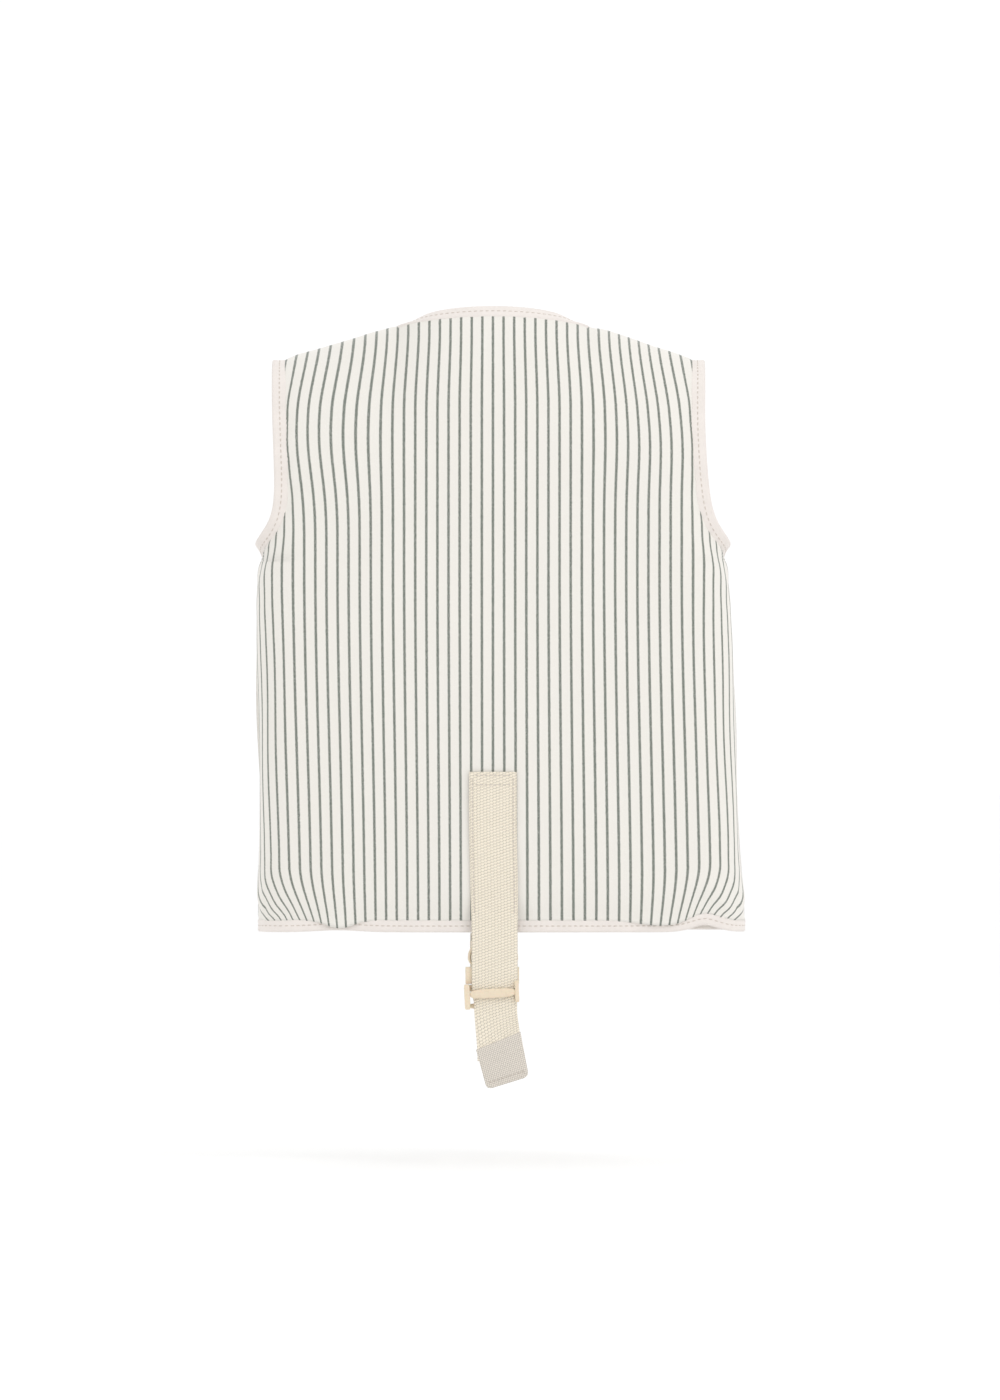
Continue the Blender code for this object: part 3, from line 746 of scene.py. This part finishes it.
def with_front():
    """Cloth of a front: baked in place, still at the shoulder seam, and joined to no body."""
    return lambda piece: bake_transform(piece)


panel("back", back_grid(161, 211), back_lines(), -1, 1, FOAM_BACK,
      {"outer": ["back_outer"], "lining": ["back_lining"], "foam": ["back_foam"]}, with_back)
for HAND, SIGN in (("left", -1), ("right", 1)):
    panel("front_" + HAND, front_grid(91, 201), front_lines(), 1, SIGN, FOAM_FRONT,
          {"outer": [f"front_{HAND}_outer", f"shoulder_outer_{HAND}"],
           "lining": [f"front_{HAND}_lining", f"shoulder_lining_{HAND}"],
           "foam": [f"front_{HAND}_foam"]}, with_front())

# %% [markdown]
# ## Bindings
# A binding is a folded strip that wraps an edge and is stitched down its middle. It is a
# profile carried along the edge: at each step the profile stands across the edge, between
# the direction that leads away from the cloth and the cloth's own normal. The stitches are
# real short threads, each a tiny closed rod copied along the same path.

# %% Paths along the edges
PATH_STEP, ROUNDED_STEPS, UNDER = 0.0016, 3, 0.004


def even(line, spacing):
    """Resample a line at equal arc length, measured over its first three columns."""
    steps = np.linalg.norm(np.diff(line[:, :3], axis=0), axis=-1)
    length = np.concatenate([[0], steps.cumsum()])
    count = max(4, int(round(length[-1] / spacing)) + 1)
    places = np.linspace(0, length[-1], count)
    return np.stack([np.interp(places, length, line[:, k]) for k in range(line.shape[1])], -1)


def rounded(line, reach):
    """Slide a bell-shaped average along a line, which rounds its corners off."""
    offsets = np.arange(-3 * reach, 3 * reach + 1)
    weights = np.exp(-(offsets / reach) ** 2)
    weights /= weights.sum()
    padded = np.concatenate([2 * line[:1] - line[3 * reach:0:-1], line,
                             2 * line[-1:] - line[-2:-3 * reach - 2:-1]])
    return np.stack([np.convolve(padded[:, k], weights, "valid") for k in range(3)], -1)


def unit(vectors):
    return vectors / np.maximum(np.linalg.norm(vectors, axis=-1, keepdims=True), 1e-12)


# %% Frames and points along an edge
def edge_frame(points, inside):
    """Along, outward normal and away-from-cloth directions at each point of an edge."""
    along = unit(np.gradient(points, axis=0))
    normal = points - inside
    normal = unit(normal - along * (normal * along).sum(-1, keepdims=True))
    return along, normal, np.cross(along, normal)


def edge_path(runs):
    """Points along an edge in the middle of the gathered layers, and points 4 mm deeper.

    runs is a list of (girth, height, side, crest) arrays, joined in order.
    """
    layers = (OUTER + LINING) / 2
    upper = np.concatenate([skin(g, z, pinch(z) + layers, s, c) for g, z, s, c in runs])
    lower = np.concatenate([skin(g, z, pinch(z) + layers + UNDER, s, c)
                            for g, z, s, c in runs])
    both = even(np.concatenate([upper, lower], axis=-1), PATH_STEP)
    return rounded(both[:, :3], ROUNDED_STEPS), rounded(both[:, 3:], ROUNDED_STEPS)


# %% The binding strip
STRIP_MIDDLE, STRIP_HALF, STRIP_THICK = 0.0038, 0.0050, 0.0027
STITCH_PITCH = 0.0037


def strip_profile(count=20):
    """A rounded rectangle (superellipse of power 5) with a shallow stitched groove."""
    turn = np.linspace(0, 2 * math.pi, count, endpoint=False)
    across = STRIP_MIDDLE + STRIP_HALF * bent(np.cos(turn), 0.4)
    high = STRIP_THICK * bent(np.sin(turn), 0.4)
    groove = 1 - 0.16 * np.exp(-((across - STRIP_MIDDLE) / 0.0011) ** 2)
    return across, high * groove


def armhole_frame(points, sign):
    """Frame of an armhole's strip, which lies flat like the panels' edges.

    Away from the cloth is sideways, and turns upwards over the armhole's bottom.
    """
    along = unit(np.gradient(points, axis=0))
    up = 0.80 * np.exp(-(points[:, 2:] - points[:, 2].min()) / 0.016)
    off = (1 - up) * np.array([sign, 0.0, 0.0]) + up * np.array([0.0, 0.0, 1.0])
    off = unit(off - along * (off * along).sum(-1, keepdims=True))
    return along, np.cross(along, off) * sign, off


def binding(name, path, turned, body, nodes, armhole=0, width=1.0):
    """Carry the strip along a path, and stitch it.

    turned is 1 or -1, the side on which the cloth lies. armhole is 0, or the sign of the
    armhole's hand, and then the armhole's frame is used. width scales the strip.
    """
    points, inside = path
    if armhole:
        along, normal, off = armhole_frame(points, armhole)
    else:
        along, normal, off = edge_frame(points, inside)
        off = off * turned
    across, high = strip_profile()
    across = across * width
    step_along = np.arange(len(points)) * PATH_STEP
    pucker = 1 + 0.05 * np.sin(2 * math.pi * step_along / STITCH_PITCH)[:, None, None]
    rings = (points[:, None] + off[:, None] * across[:, None]
             + normal[:, None] * high[:, None] * pucker)
    around = np.linspace(0, 0.02, len(across))
    uv = np.stack([np.broadcast_to(around, rings.shape[:2]),
                   np.broadcast_to(step_along[:, None], rings.shape[:2])], axis=-1)
    piece = outward(tube(name, rings, BOUND, uv))
    dress(piece, nodes, body)
    seam = points + off * STRIP_MIDDLE * width
    thread(name + "_stitches", seam, normal, 0.84 * STRIP_THICK, body)


# %% Stitches
def thread(name, path, normal, lift, body, both=True, pitch=STITCH_PITCH, length=0.0024,
           radius=0.00036):
    """Stitches at a pitch along a path, raised by lift on one face or on both.

    Each is a short rod: four rings of six points, the outer two narrow, and flat ends.
    """
    line = even(np.concatenate([path, normal], axis=-1), pitch)[1:-1]
    points, up = line[:, :3], unit(line[:, 3:])
    along = unit(np.gradient(points, axis=0))
    side = np.cross(up, along)
    stops = np.array([-0.5, -0.3, 0.3, 0.5])
    thick = np.repeat([0.25, 1.0, 1.0, 0.25], 6)
    turn = np.linspace(0, 2 * math.pi, 6, endpoint=False)
    local = np.stack([np.repeat(stops * length, 6), np.tile(np.cos(turn), 4) * thick,
                      np.tile(np.sin(turn), 4) * thick], axis=-1)
    index = np.arange(24).reshape(4, 6)
    ends = np.concatenate([[index[0, ::-1][:4], index[0, ::-1][[0, 3, 4, 5]]],
                           [index[3][:4], index[3][[0, 3, 4, 5]]]])
    cell = np.concatenate([ring_faces(index), ends])
    copies = []
    for face in ((1, -1) if both else (1,)):
        base = points + up * lift * face
        copies.append(base[:, None] + along[:, None] * local[:, :1]
                      + radius * (side[:, None] * local[:, 1:2] + up[:, None] * local[:, 2:]))
    cloud = np.concatenate(copies)
    piece = outward(mesh_object(name, cloud, copied(cell, 24, len(cloud)).tolist(), THREAD,
                                np.zeros((len(cloud) * 24, 2))))
    dress(piece, [], body)
    print(name, len(cloud), "stitches")


# %% Armhole bindings
def shoulder_arc(side, top_first, sign):
    """The armhole's edge between its bottom and the crest, as arrays for edge_path."""
    part = np.linspace(0, 1, 500)
    low = ARMHOLE_BOTTOM + (ARCH_START - ARMHOLE_BOTTOM) * part ** 3
    high = ARCH_START + (SHOULDER_TIP - ARCH_START) * np.sin(part[1:] * math.pi / 2)
    z = np.concatenate([low, high])
    if top_first:
        z = z[::-1]
    return sign * armhole_edge(z), z, side, SHOULDER_TIP + 0 * z


def part_of(path, keep_points):
    return path[0][keep_points], path[1][keep_points]


for HAND, SIGN in (("left", -1), ("right", 1)):
    ring = edge_path([shoulder_arc(1, True, SIGN), shoulder_arc(-1, False, SIGN)])
    lowest = int(np.argmin(ring[0][:, 2]))
    binding("armhole_strip_front_" + HAND, part_of(ring, slice(0, lowest + 1)), -SIGN,
            with_front(), ["armhole_binding_front_" + HAND], SIGN)
    binding("armhole_strip_back_" + HAND, part_of(ring, slice(lowest, None)), -SIGN,
            with_back, ["armhole_binding_" + HAND], SIGN)

# %% Neck bindings
nearly = ARCH_START + (TALL - ARCH_START) * 0.985
crest_turn = np.linspace(1.397, math.pi / 2, 40)[1:]
z_in = np.concatenate([np.linspace(FRONT_NECK, SPLIT, 120),
                       np.linspace(SPLIT, nearly, 160)[1:],
                       ARCH_START + (TALL - ARCH_START) * np.sin(crest_turn)])
front_run = (neckline_in(z_in), z_in, 1, TALL + 0 * z_in)
x_back = np.linspace(NECK_HALF, -NECK_HALF, 400)
back_run = (x_back, back_top(x_back), -1, shoulder_line(x_back))
mirror_run = (-front_run[0][::-1], z_in[::-1], 1, front_run[3])
collar = edge_path([front_run, back_run, mirror_run])
over = np.flatnonzero(collar[0][:, 1] < 0.0)
binding("neck_strip_back", part_of(collar, slice(over[0] - 1, over[-1] + 2)), 1, with_back,
        ["neck_binding"])
binding("neck_strip_front_right", part_of(collar, slice(0, over[0])), 1, with_front(),
        ["neck_binding_front_right"])
binding("neck_strip_front_left", part_of(collar, slice(over[-1] + 1, None)), 1,
        with_front(), ["neck_binding_front_left"])

# %% Hem bindings
def hem_run(start, end, side):
    girth = np.linspace(start, end, 900)
    return girth, BINDING + 0 * girth, side, TALL + 0 * girth


HEM_STRIP_WIDTH = 0.84
reach_side = float(half_girth(BINDING))
binding("hem_strip_back", edge_path([hem_run(-reach_side, reach_side, -1)]), 1, with_back,
        ["hem_binding"], width=HEM_STRIP_WIDTH)
for HAND, SIGN in (("left", -1), ("right", 1)):
    binding("hem_strip_front_" + HAND,
            edge_path([hem_run(SIGN * ZIP_HALF, SIGN * reach_side, 1)]), -SIGN,
            with_front(), ["hem_binding_front_" + HAND], width=HEM_STRIP_WIDTH)

# %% [markdown]
# ## Crotch strap
# The strap is 30 mm webbing. It is sewn to the back, leaves it at the hem, passes behind
# the buckle's bar, and its tail hangs a little askew in a folded end tab. Each length is a
# ribbon: a left and a right edge, with a rounded profile between them.

# %% Ribbons
CUT_RING = 0.05


def ribbon(name, left, right, half_thick, material, blunt=(0.0012, 0.0012), power=0.28,
           corner=0.0, start=0.0):
    """Carry a flat rounded profile between two edge lines.

    A profile point is c of the half width across and s of the half thickness up, where c
    and s are the signed power of a cosine and a sine. blunt is how far each end's rounding
    reaches in, 0 for a cut end, which gets one more ring close by so that it shades flat.
    corner is the radius of the last two corners, and start is where v begins.
    """
    if not blunt[0]:
        left, right = (np.insert(e, 1, e[0] + (e[1] - e[0]) * CUT_RING, axis=0)
                       for e in (left, right))
    if not blunt[1]:
        left, right = (np.insert(e, -1, e[-1] + (e[-2] - e[-1]) * CUT_RING, axis=0)
                       for e in (left, right))
    centre = (left + right) / 2
    across = unit(right - left)
    length = np.concatenate([[0], np.linalg.norm(np.diff(centre, axis=0), axis=-1).cumsum()])
    along = unit(np.gradient(centre, length, axis=0))
    up = unit(np.cross(across, along))
    thick = half_thick + 0 * length
    for reach, gone in zip(blunt, (length, length[-1] - length)):
        if reach:
            thick = thick * np.sqrt(1 - (1 - np.clip(gone / reach, 0.03, 1)) ** 2)
    half = np.linalg.norm(right - left, axis=-1) / 2
    if corner:
        inside = np.clip((length[-1] - length) / corner, 0, 1)
        half = half - corner * (1 - np.sqrt(1 - (1 - inside) ** 2))
    turn = np.linspace(0, 2 * math.pi, 36, endpoint=False)
    c = bent(np.cos(turn), 0.75)
    s = bent(np.sin(turn), power)
    rings = (centre[:, None] + across[:, None] * (half[:, None] * c)[..., None]
             + up[:, None] * (thick[:, None] * s)[..., None])
    uv = np.stack([half[:, None] * c, np.broadcast_to(start + length[:, None],
                                                      rings.shape[:2])], -1)
    return outward(tube(name, rings, material, uv))


# %% Smooth lines and the strap's plane
def through(stops, values, places):
    """A smooth line through a few stops, by averaging a straight one."""
    line = np.interp(places, stops, values)
    weights = np.exp(-(np.arange(-9, 10) / 4.0) ** 2)
    padded = np.concatenate([2 * line[0] - line[9:0:-1], line, 2 * line[-1] - line[-2:-11:-1]])
    return np.convolve(padded, weights / weights.sum(), "valid")


WEB_HALF, WEB_THICK = 0.0150, 0.00072
with_strap = riding("crotch_strap")
STRAP_LINE = (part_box("crotch_strap_free")[0][1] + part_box("crotch_strap_free")[1][1]) / 2


def at(x, y, z):
    """Points from x, y and height above the hem."""
    return np.stack(np.broadcast_arrays(x, y, z + HEM), axis=-1).astype(float)


print("the strap hangs at y", round(STRAP_LINE, 4))

# %% Webbing sewn to the back
SEWN_TOP, LEAVES_CLOTH, ON_CLOTH = 0.1062, 0.034, 0.0009
SEAM_INSET = 0.0022
down = np.linspace(SEWN_TOP, 0.0, 140)
spot = np.linspace(-0.016, 0.016, 9)[:, None] + 0 * down
depth_here = skin_dip(spot, down + 0 * spot, np.clip(down - BINDING, 0, None) + 0 * spot)
face_y = skin(spot, down + 0 * spot, depth_here, -1, TALL)[..., 1].min(axis=0)
leaving_y = face_y[np.searchsorted(-down, -LEAVES_CLOTH)]
straight = np.interp(down, [0.0, LEAVES_CLOTH], [STRAP_LINE, leaving_y])
lying = face_y - ON_CLOTH
rest_y = np.where(down < LEAVES_CLOTH, np.minimum(straight, lying), lying)
rest_y = through(down[::-1], rest_y[::-1], down[::-1])[::-1]
drift = 0.0011 * smooth((0.08 - down) / 0.08)
wider = 0.0005 * smooth(down / 0.03)
LEFT = at(drift - WEB_HALF - wider, rest_y, down)
RIGHT = at(drift + WEB_HALF + wider, rest_y, down)
sewn = ribbon("strap_webbing_sewn", LEFT, RIGHT, WEB_THICK, WEBBING, blunt=(0.0012, 0))
dress(sewn, ["crotch_strap_sewn"], with_back)
inset = np.array([SEAM_INSET, 0.0, 0.0])
up_y = np.array([0.0, -1.0, 0.0])
rows = slice(3, 124)
edge_runs = [LEFT[rows] + inset, RIGHT[rows] - inset,
             np.linspace(LEFT[3] + inset, RIGHT[3] - inset, 40),
             np.linspace(LEFT[11] + inset, RIGHT[11] - inset, 40)]
for number, run in enumerate(edge_runs):
    thread(f"strap_seam_{number + 1}", run, up_y + 0 * run, WEB_THICK, with_back, both=False,
           pitch=0.0029, length=0.0021)

# %% Free webbing, its tail and the end tab
hang = np.linspace(0.0, -0.0785, 120)
tail = smooth((-0.046 - hang) / 0.03)
past_bar = smooth((-0.036 - hang) / 0.010)
lean = 0.0011 + 0.0006 * past_bar + 0.0022 * tail
sway = STRAP_LINE + 0 * hang
narrow = WEB_HALF - 0.0010 * past_bar
tilt = 0.0042 * smooth((-0.050 - hang) / 0.02)
low_left, low_right = at(lean - narrow, sway, hang - tilt), at(lean + narrow, sway, hang + tilt)
free = ribbon("strap_webbing_free", low_left, low_right, WEB_THICK, WEBBING,
              blunt=(0, 0.0012), start=0.1064)
dress(free, ["crotch_strap_free"], with_strap)

part = np.linspace(0, 1, 48)[:, None]
tab_y = STRAP_LINE - 0.0004
corner_a, corner_b = at(-0.0111, tab_y, -0.0750), at(0.0179, tab_y, -0.0632)
corner_c, corner_d = at(0.0235, tab_y, -0.0926), at(-0.0039, tab_y, -0.1011)
bow = np.array([0.0, -0.0003, 0.0]) * np.sin(math.pi * part)
tab = ribbon("strap_tab_cloth", corner_a + (corner_d - corner_a) * part + bow,
             corner_b + (corner_c - corner_b) * part + bow, 0.0014, TAB, blunt=(0.0020, 0.0030),
             power=0.4, corner=0.0034)
dress(tab, ["strap_end_tab"], with_strap)
SEAM_DOWN, SEAM_IN = 0.86, 0.04
seam_left = corner_a + (corner_d - corner_a) * SEAM_DOWN
seam_right = corner_b + (corner_c - corner_b) * SEAM_DOWN
tab_middle = (corner_a + corner_b + corner_c + corner_d) / 4
seam_run = np.linspace(seam_left, seam_right, 60) * (1 - SEAM_IN) + SEAM_IN * tab_middle
thread("tab_seam", seam_run, up_y + 0 * seam_run, 0.00165, with_strap, both=False,
       pitch=0.0027, length=0.0019)

# %% Webbing that comes through from the front
front_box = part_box("front_strap")
span = np.linspace(0, 1, 90)
run_y = front_box[1][1] + (front_box[0][1] - front_box[1][1]) * span
run_z = (-0.0012 - 0.0032 * span) - 0.0196 * np.sin(math.pi * span) ** 1.2
under = ribbon("strap_webbing_front", at(-WEB_HALF, run_y, run_z), at(WEB_HALF, run_y, run_z),
               WEB_THICK, WEBBING)
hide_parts("front_strap")
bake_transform(under)
print("faces of the strap's lengths:", [len(p.data.polygons) for p in (sewn, free, tab, under)])

# %% [markdown]
# ## Buckle
# The side-release buckle has a female half with an open window on each side, and a male
# frame with a bar in front of the webbing and a bar behind it. The bars and the frame's
# rails are rounded boxes, which are superellipsoids.

# %% Rounded boxes
def rounded_box(name, low, high, material, power=0.22, tilt=0.0, rings=28, around=40):
    """A closed box with soft edges, between two corners, turned by tilt about Y.

    A point is the half size times the signed powers of the cosines and sines of a
    latitude and a longitude. The corners' heights are above the hem.
    """
    low, high = np.array(low), np.array(high)
    centre, half = (low + high) / 2, (high - low) / 2
    latitude = np.linspace(-math.pi / 2, math.pi / 2, rings)[:, None] * 0.9999
    turn = np.linspace(0, 2 * math.pi, around, endpoint=False)[None]
    x = bent(np.sin(latitude), power) + 0 * turn
    y = bent(np.cos(latitude), power) * bent(np.cos(turn), power)
    z = bent(np.cos(latitude), power) * bent(np.sin(turn), power)
    shape = np.stack([x, y, z], axis=-1) * half
    c, s = math.cos(tilt), math.sin(tilt)
    turned = np.stack([shape[..., 0] * c - shape[..., 2] * s, shape[..., 1],
                       shape[..., 0] * s + shape[..., 2] * c], axis=-1)
    return outward(tube(name, turned + centre + [0, 0, HEM], material))


def buckle_piece(name, low, high, body, nodes=(), tilt=0.0, power=0.25):
    piece = rounded_box(name, low, high, PLASTIC, power, tilt)
    dress(piece, nodes, riding(body))
    print(name, len(piece.data.polygons))


# %% Male frame: a bar in front of the webbing, one behind it, a yoke and two rails
RAIL_TILT = 0.045
buckle_piece("buckle_bar", (-0.0150, -0.0612, -0.0413), (0.0146, -0.0580, -0.0352),
             "buckle_male", ["buckle_male_frame"], tilt=0.055, power=0.55)
buckle_piece("buckle_end_bar", (-0.0158, -0.0558, -0.0486), (0.0158, -0.0526, -0.0448),
             "buckle_male", power=0.5)
buckle_piece("buckle_yoke", (-0.0165, -0.0558, -0.0373), (0.0165, -0.0472, -0.0327),
             "buckle_male")
buckle_piece("buckle_rail_left", (-0.0186, -0.0611, -0.0489), (-0.0149, -0.0519, -0.0325),
             "buckle_male", tilt=RAIL_TILT)
buckle_piece("buckle_rail_right", (0.0143, -0.0609, -0.0440), (0.0170, -0.0519, -0.0300),
             "buckle_male", tilt=RAIL_TILT)

# %% Female half: a sleeve, two plates and a top bar
BUCKLE_MIDDLE = -0.0515
AROUND = 96
around = np.linspace(0, 2 * math.pi, AROUND, endpoint=False)
loop = np.stack([bent(np.cos(around), 0.25), bent(np.sin(around), 0.25)], axis=-1)
outer_loop = loop * [0.01755, 0.0044] + [-0.00045, BUCKLE_MIDDLE]
inner_loop = loop * [0.01685, 0.0033] + [-0.00025, BUCKLE_MIDDLE]
share = np.array([0, 0, 0.3, 0.7, 1, 1, 0.7, 0.3])[None, :, None]
level = np.array([-0.0318, -0.0216, -0.0212, -0.0212, -0.0216, -0.0318, -0.0322, -0.0322])
flat_part = outer_loop[:, None] * (1 - share) + inner_loop[:, None] * share
height_part = np.broadcast_to((level + HEM)[None, :, None], (AROUND, len(level), 1))
sleeve_rings = np.concatenate([flat_part, height_part], axis=-1)
sleeve = outward(tube("buckle_sleeve", sleeve_rings, PLASTIC, close=True))
dress(sleeve, ["buckle_female"], with_strap)
buckle_piece("buckle_plate_near", (-0.0136, -0.0559, -0.0222), (0.0134, -0.0546, -0.0032),
             "crotch_strap")
buckle_piece("buckle_plate_far", (-0.0136, -0.0484, -0.0222), (0.0134, -0.0471, -0.0032),
             "crotch_strap")
buckle_piece("buckle_top_bar", (-0.0142, -0.0557, -0.0078), (0.0140, -0.0473, -0.0031),
             "crotch_strap", power=0.4)

# %% Prongs: curved springs whose lobes fill the side windows
climb = np.linspace(0, 1, 60)
stops_z = np.array([-0.0321, -0.0260, -0.0205, -0.0165, -0.0120, -0.0082])
stops_x = np.array([0.0105, 0.0108, 0.0132, 0.0156, 0.0152, 0.0132])
PRONG_IN, PRONG_OUT = 0.0012, 0.0010
prong_z = np.interp(climb, np.linspace(0, 1, len(stops_z)), stops_z)
prong_x = through(stops_z, stops_x, prong_z)
for HAND, SIGN in (("left", -1), ("right", 1)):
    inner_edge = at(SIGN * (prong_x - PRONG_IN), BUCKLE_MIDDLE, prong_z)
    outer_edge = at(SIGN * (prong_x + PRONG_OUT), BUCKLE_MIDDLE, prong_z)
    prong = ribbon("buckle_spring_" + HAND, inner_edge, outer_edge, 0.0020, PLASTIC,
                   blunt=(0, 0.0010), power=0.5)
    dress(prong, ["buckle_prong_" + HAND], riding("prong_" + HAND))
    print(prong.name, len(prong.data.polygons))

# %% [markdown]
# ## Zip
# The front opens with a separating zip. Tapes and teeth are cloth work, so they are baked in
# place like the fronts' panels and join no body. The teeth are small blocks, half a pitch
# apart on the two sides, so that they mesh down the middle.

# %% Tapes and teeth
TOOTH_PITCH = 0.0026
TOOTH_OUT, TOOTH_HALF = 0.0014, (0.0021, 0.00125, 0.00058)
TAPE_NEAR, TAPE_FAR, TAPE_THICK = 0.0032, 0.0106, 0.00052
tooth_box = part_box("zip_teeth_left")
tape_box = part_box("zip_tape_left")
tape_y = (tape_box[0][1] + tape_box[1][1]) / 2
tooth_y = (tooth_box[0][1] + tooth_box[1][1]) / 2


def blocks(name, centres, half, nodes, body):
    """Copies of one chamfered block: an octagon carried through four rings."""
    turn = (np.arange(8) + 0.5) * math.pi / 4
    profile = np.stack([bent(np.cos(turn), 0.6), bent(np.sin(turn), 0.6)], axis=-1)
    rings = np.concatenate([np.concatenate([np.full((8, 1), h), profile * w], axis=1)
                            for h, w in ((-1, 0.72), (-0.7, 1.0), (0.7, 1.0), (1, 0.72))])
    cloud = centres[:, None] + rings * np.array(half)
    caps = np.array([[0, 3, 2, 1], [0, 5, 4, 3], [0, 7, 6, 5], [24, 25, 26, 27],
                     [24, 27, 28, 29], [24, 29, 30, 31]])
    cell = np.concatenate([ring_faces(np.arange(32).reshape(4, 8)), caps])
    faces = copied(cell, 32, len(centres)).tolist()
    piece = outward(mesh_object(name, cloud, faces, ZIP_PLASTIC,
                                np.zeros((cloud.size // 3, 2))))
    dress(piece, nodes, body)
    print(name, len(centres), "blocks")


for HAND, SIGN in (("left", -1), ("right", 1)):
    tape_z = np.linspace(tape_box[0][2], tape_box[1][2], 160)
    ripple = 0.0002 * np.sin(tape_z * 90.0)
    near, far = (np.stack([SIGN * x + 0 * tape_z, tape_y + ripple, tape_z], axis=-1)
                 for x in (TAPE_NEAR, TAPE_FAR))
    tape = ribbon("zip_tape_cloth_" + HAND, near, far, TAPE_THICK, BOUND)
    dress(tape, ["zip_tape_" + HAND], with_front())
    tooth_z = np.arange(tooth_box[0][2] + 0.0012, tooth_box[1][2] - 0.0008, TOOTH_PITCH)
    tooth_z = tooth_z + (TOOTH_PITCH / 2 if SIGN > 0 else 0)
    places = np.stack([SIGN * TOOTH_OUT + 0 * tooth_z, tooth_y + 0 * tooth_z, tooth_z], axis=-1)
    blocks("zip_teeth_row_" + HAND, places, TOOTH_HALF, ["zip_teeth_" + HAND],
           with_front())
    stop_low, stop_high = (np.array(corner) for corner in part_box("zip_top_stop_" + HAND))
    blocks("zip_stop_block_" + HAND, (stop_low + stop_high)[None] / 2,
           np.abs(stop_high - stop_low) / 2, ["zip_top_stop_" + HAND], with_front())

# %% Pieces that keep their own shape
for node in ("zip_insertion_pin", "zip_bottom_box", "zip_slider", "zip_pull"):
    finishes = bpy.data.objects[node].data.materials
    finishes.clear()
    finishes.append(ZIP_PLASTIC)
print("zip: tooth pitch", TOOTH_PITCH, "m")

# %% [markdown]
# ## Studio
# The vest hangs in a white studio: a wide white floor under an evenly white sky, with a
# large soft light from the upper right and weaker ones from the left and from behind. The
# camera is level with the vest's middle, a long way back with a long lens, so the upright
# lines stay upright.

# %% Floor, light and camera
FLOOR_DROP, FLOOR_RADII = 0.150, [0.0, 1.0, 4.0, 30.0]
SKY_STRENGTH = 1.04
MIDDLE = (0.0, 0.0, HEM + 0.153)
BACK_DEPTH, CAMERA_X, CAMERA_AWAY = 0.055, 0.0046, 7.61
LENS_MM, FILM_MM, FARTHEST = 300.0, 36.0, 60.0


def studio():
    """A wide flat disc of floor, a little under the end tab."""
    turn = np.linspace(0, 2 * math.pi, 97)
    radius = np.array(FLOOR_RADII)[:, None]
    rings = np.stack([radius * np.cos(turn), radius * np.sin(turn),
                      0 * radius * turn + HEM - FLOOR_DROP], axis=-1)
    faces = grid_faces(len(FLOOR_RADII), len(turn))[:, ::-1]
    mesh_object("studio_floor", rings, faces.tolist(),
                         finish("studio_white", (0.97, 0.97, 0.97), 0.9)[0])


def area_light(name, place, size, power):
    """A square white light of a size in metres, aimed at the vest's middle."""
    lamp = bpy.data.lights.new(name, "AREA")
    lamp.shape = "SQUARE"
    lamp.size = size
    lamp.energy = power
    made = bpy.data.objects.new(name, lamp)
    made.location = place
    made.rotation_euler = (Vector(MIDDLE) - Vector(place)).to_track_quat("-Z", "Y").to_euler()
    bpy.context.scene.collection.objects.link(made)


studio()
world = bpy.data.worlds.new("studio_world")
world.use_nodes = True
world.node_tree.nodes["Background"].inputs["Color"].default_value = (1.0, 1.0, 1.0, 1.0)
world.node_tree.nodes["Background"].inputs["Strength"].default_value = SKY_STRENGTH
bpy.context.scene.world = world
area_light("key", (1.5, -1.6, 1.5), 1.0, 9.0)
area_light("fill", (-1.7, -1.5, 0.4), 1.6, 1.0)
area_light("rear", (0.6, 2.0, 1.6), 1.6, 4.0)
lens = bpy.data.cameras.new("camera")
lens.lens = LENS_MM
lens.sensor_fit = "VERTICAL"
lens.sensor_height = FILM_MM
lens.clip_end = FARTHEST
camera = bpy.data.objects.new("camera", lens)
camera.location = (CAMERA_X, -BACK_DEPTH - CAMERA_AWAY, MIDDLE[2])
camera.rotation_euler = (math.pi / 2, 0.0, 0.0)
bpy.context.scene.collection.objects.link(camera)
bpy.context.scene.camera = camera
bpy.context.scene.view_settings.view_transform = "Standard"
print("lights:", len(bpy.data.lights), "camera at", tuple(round(v, 3) for v in camera.location))
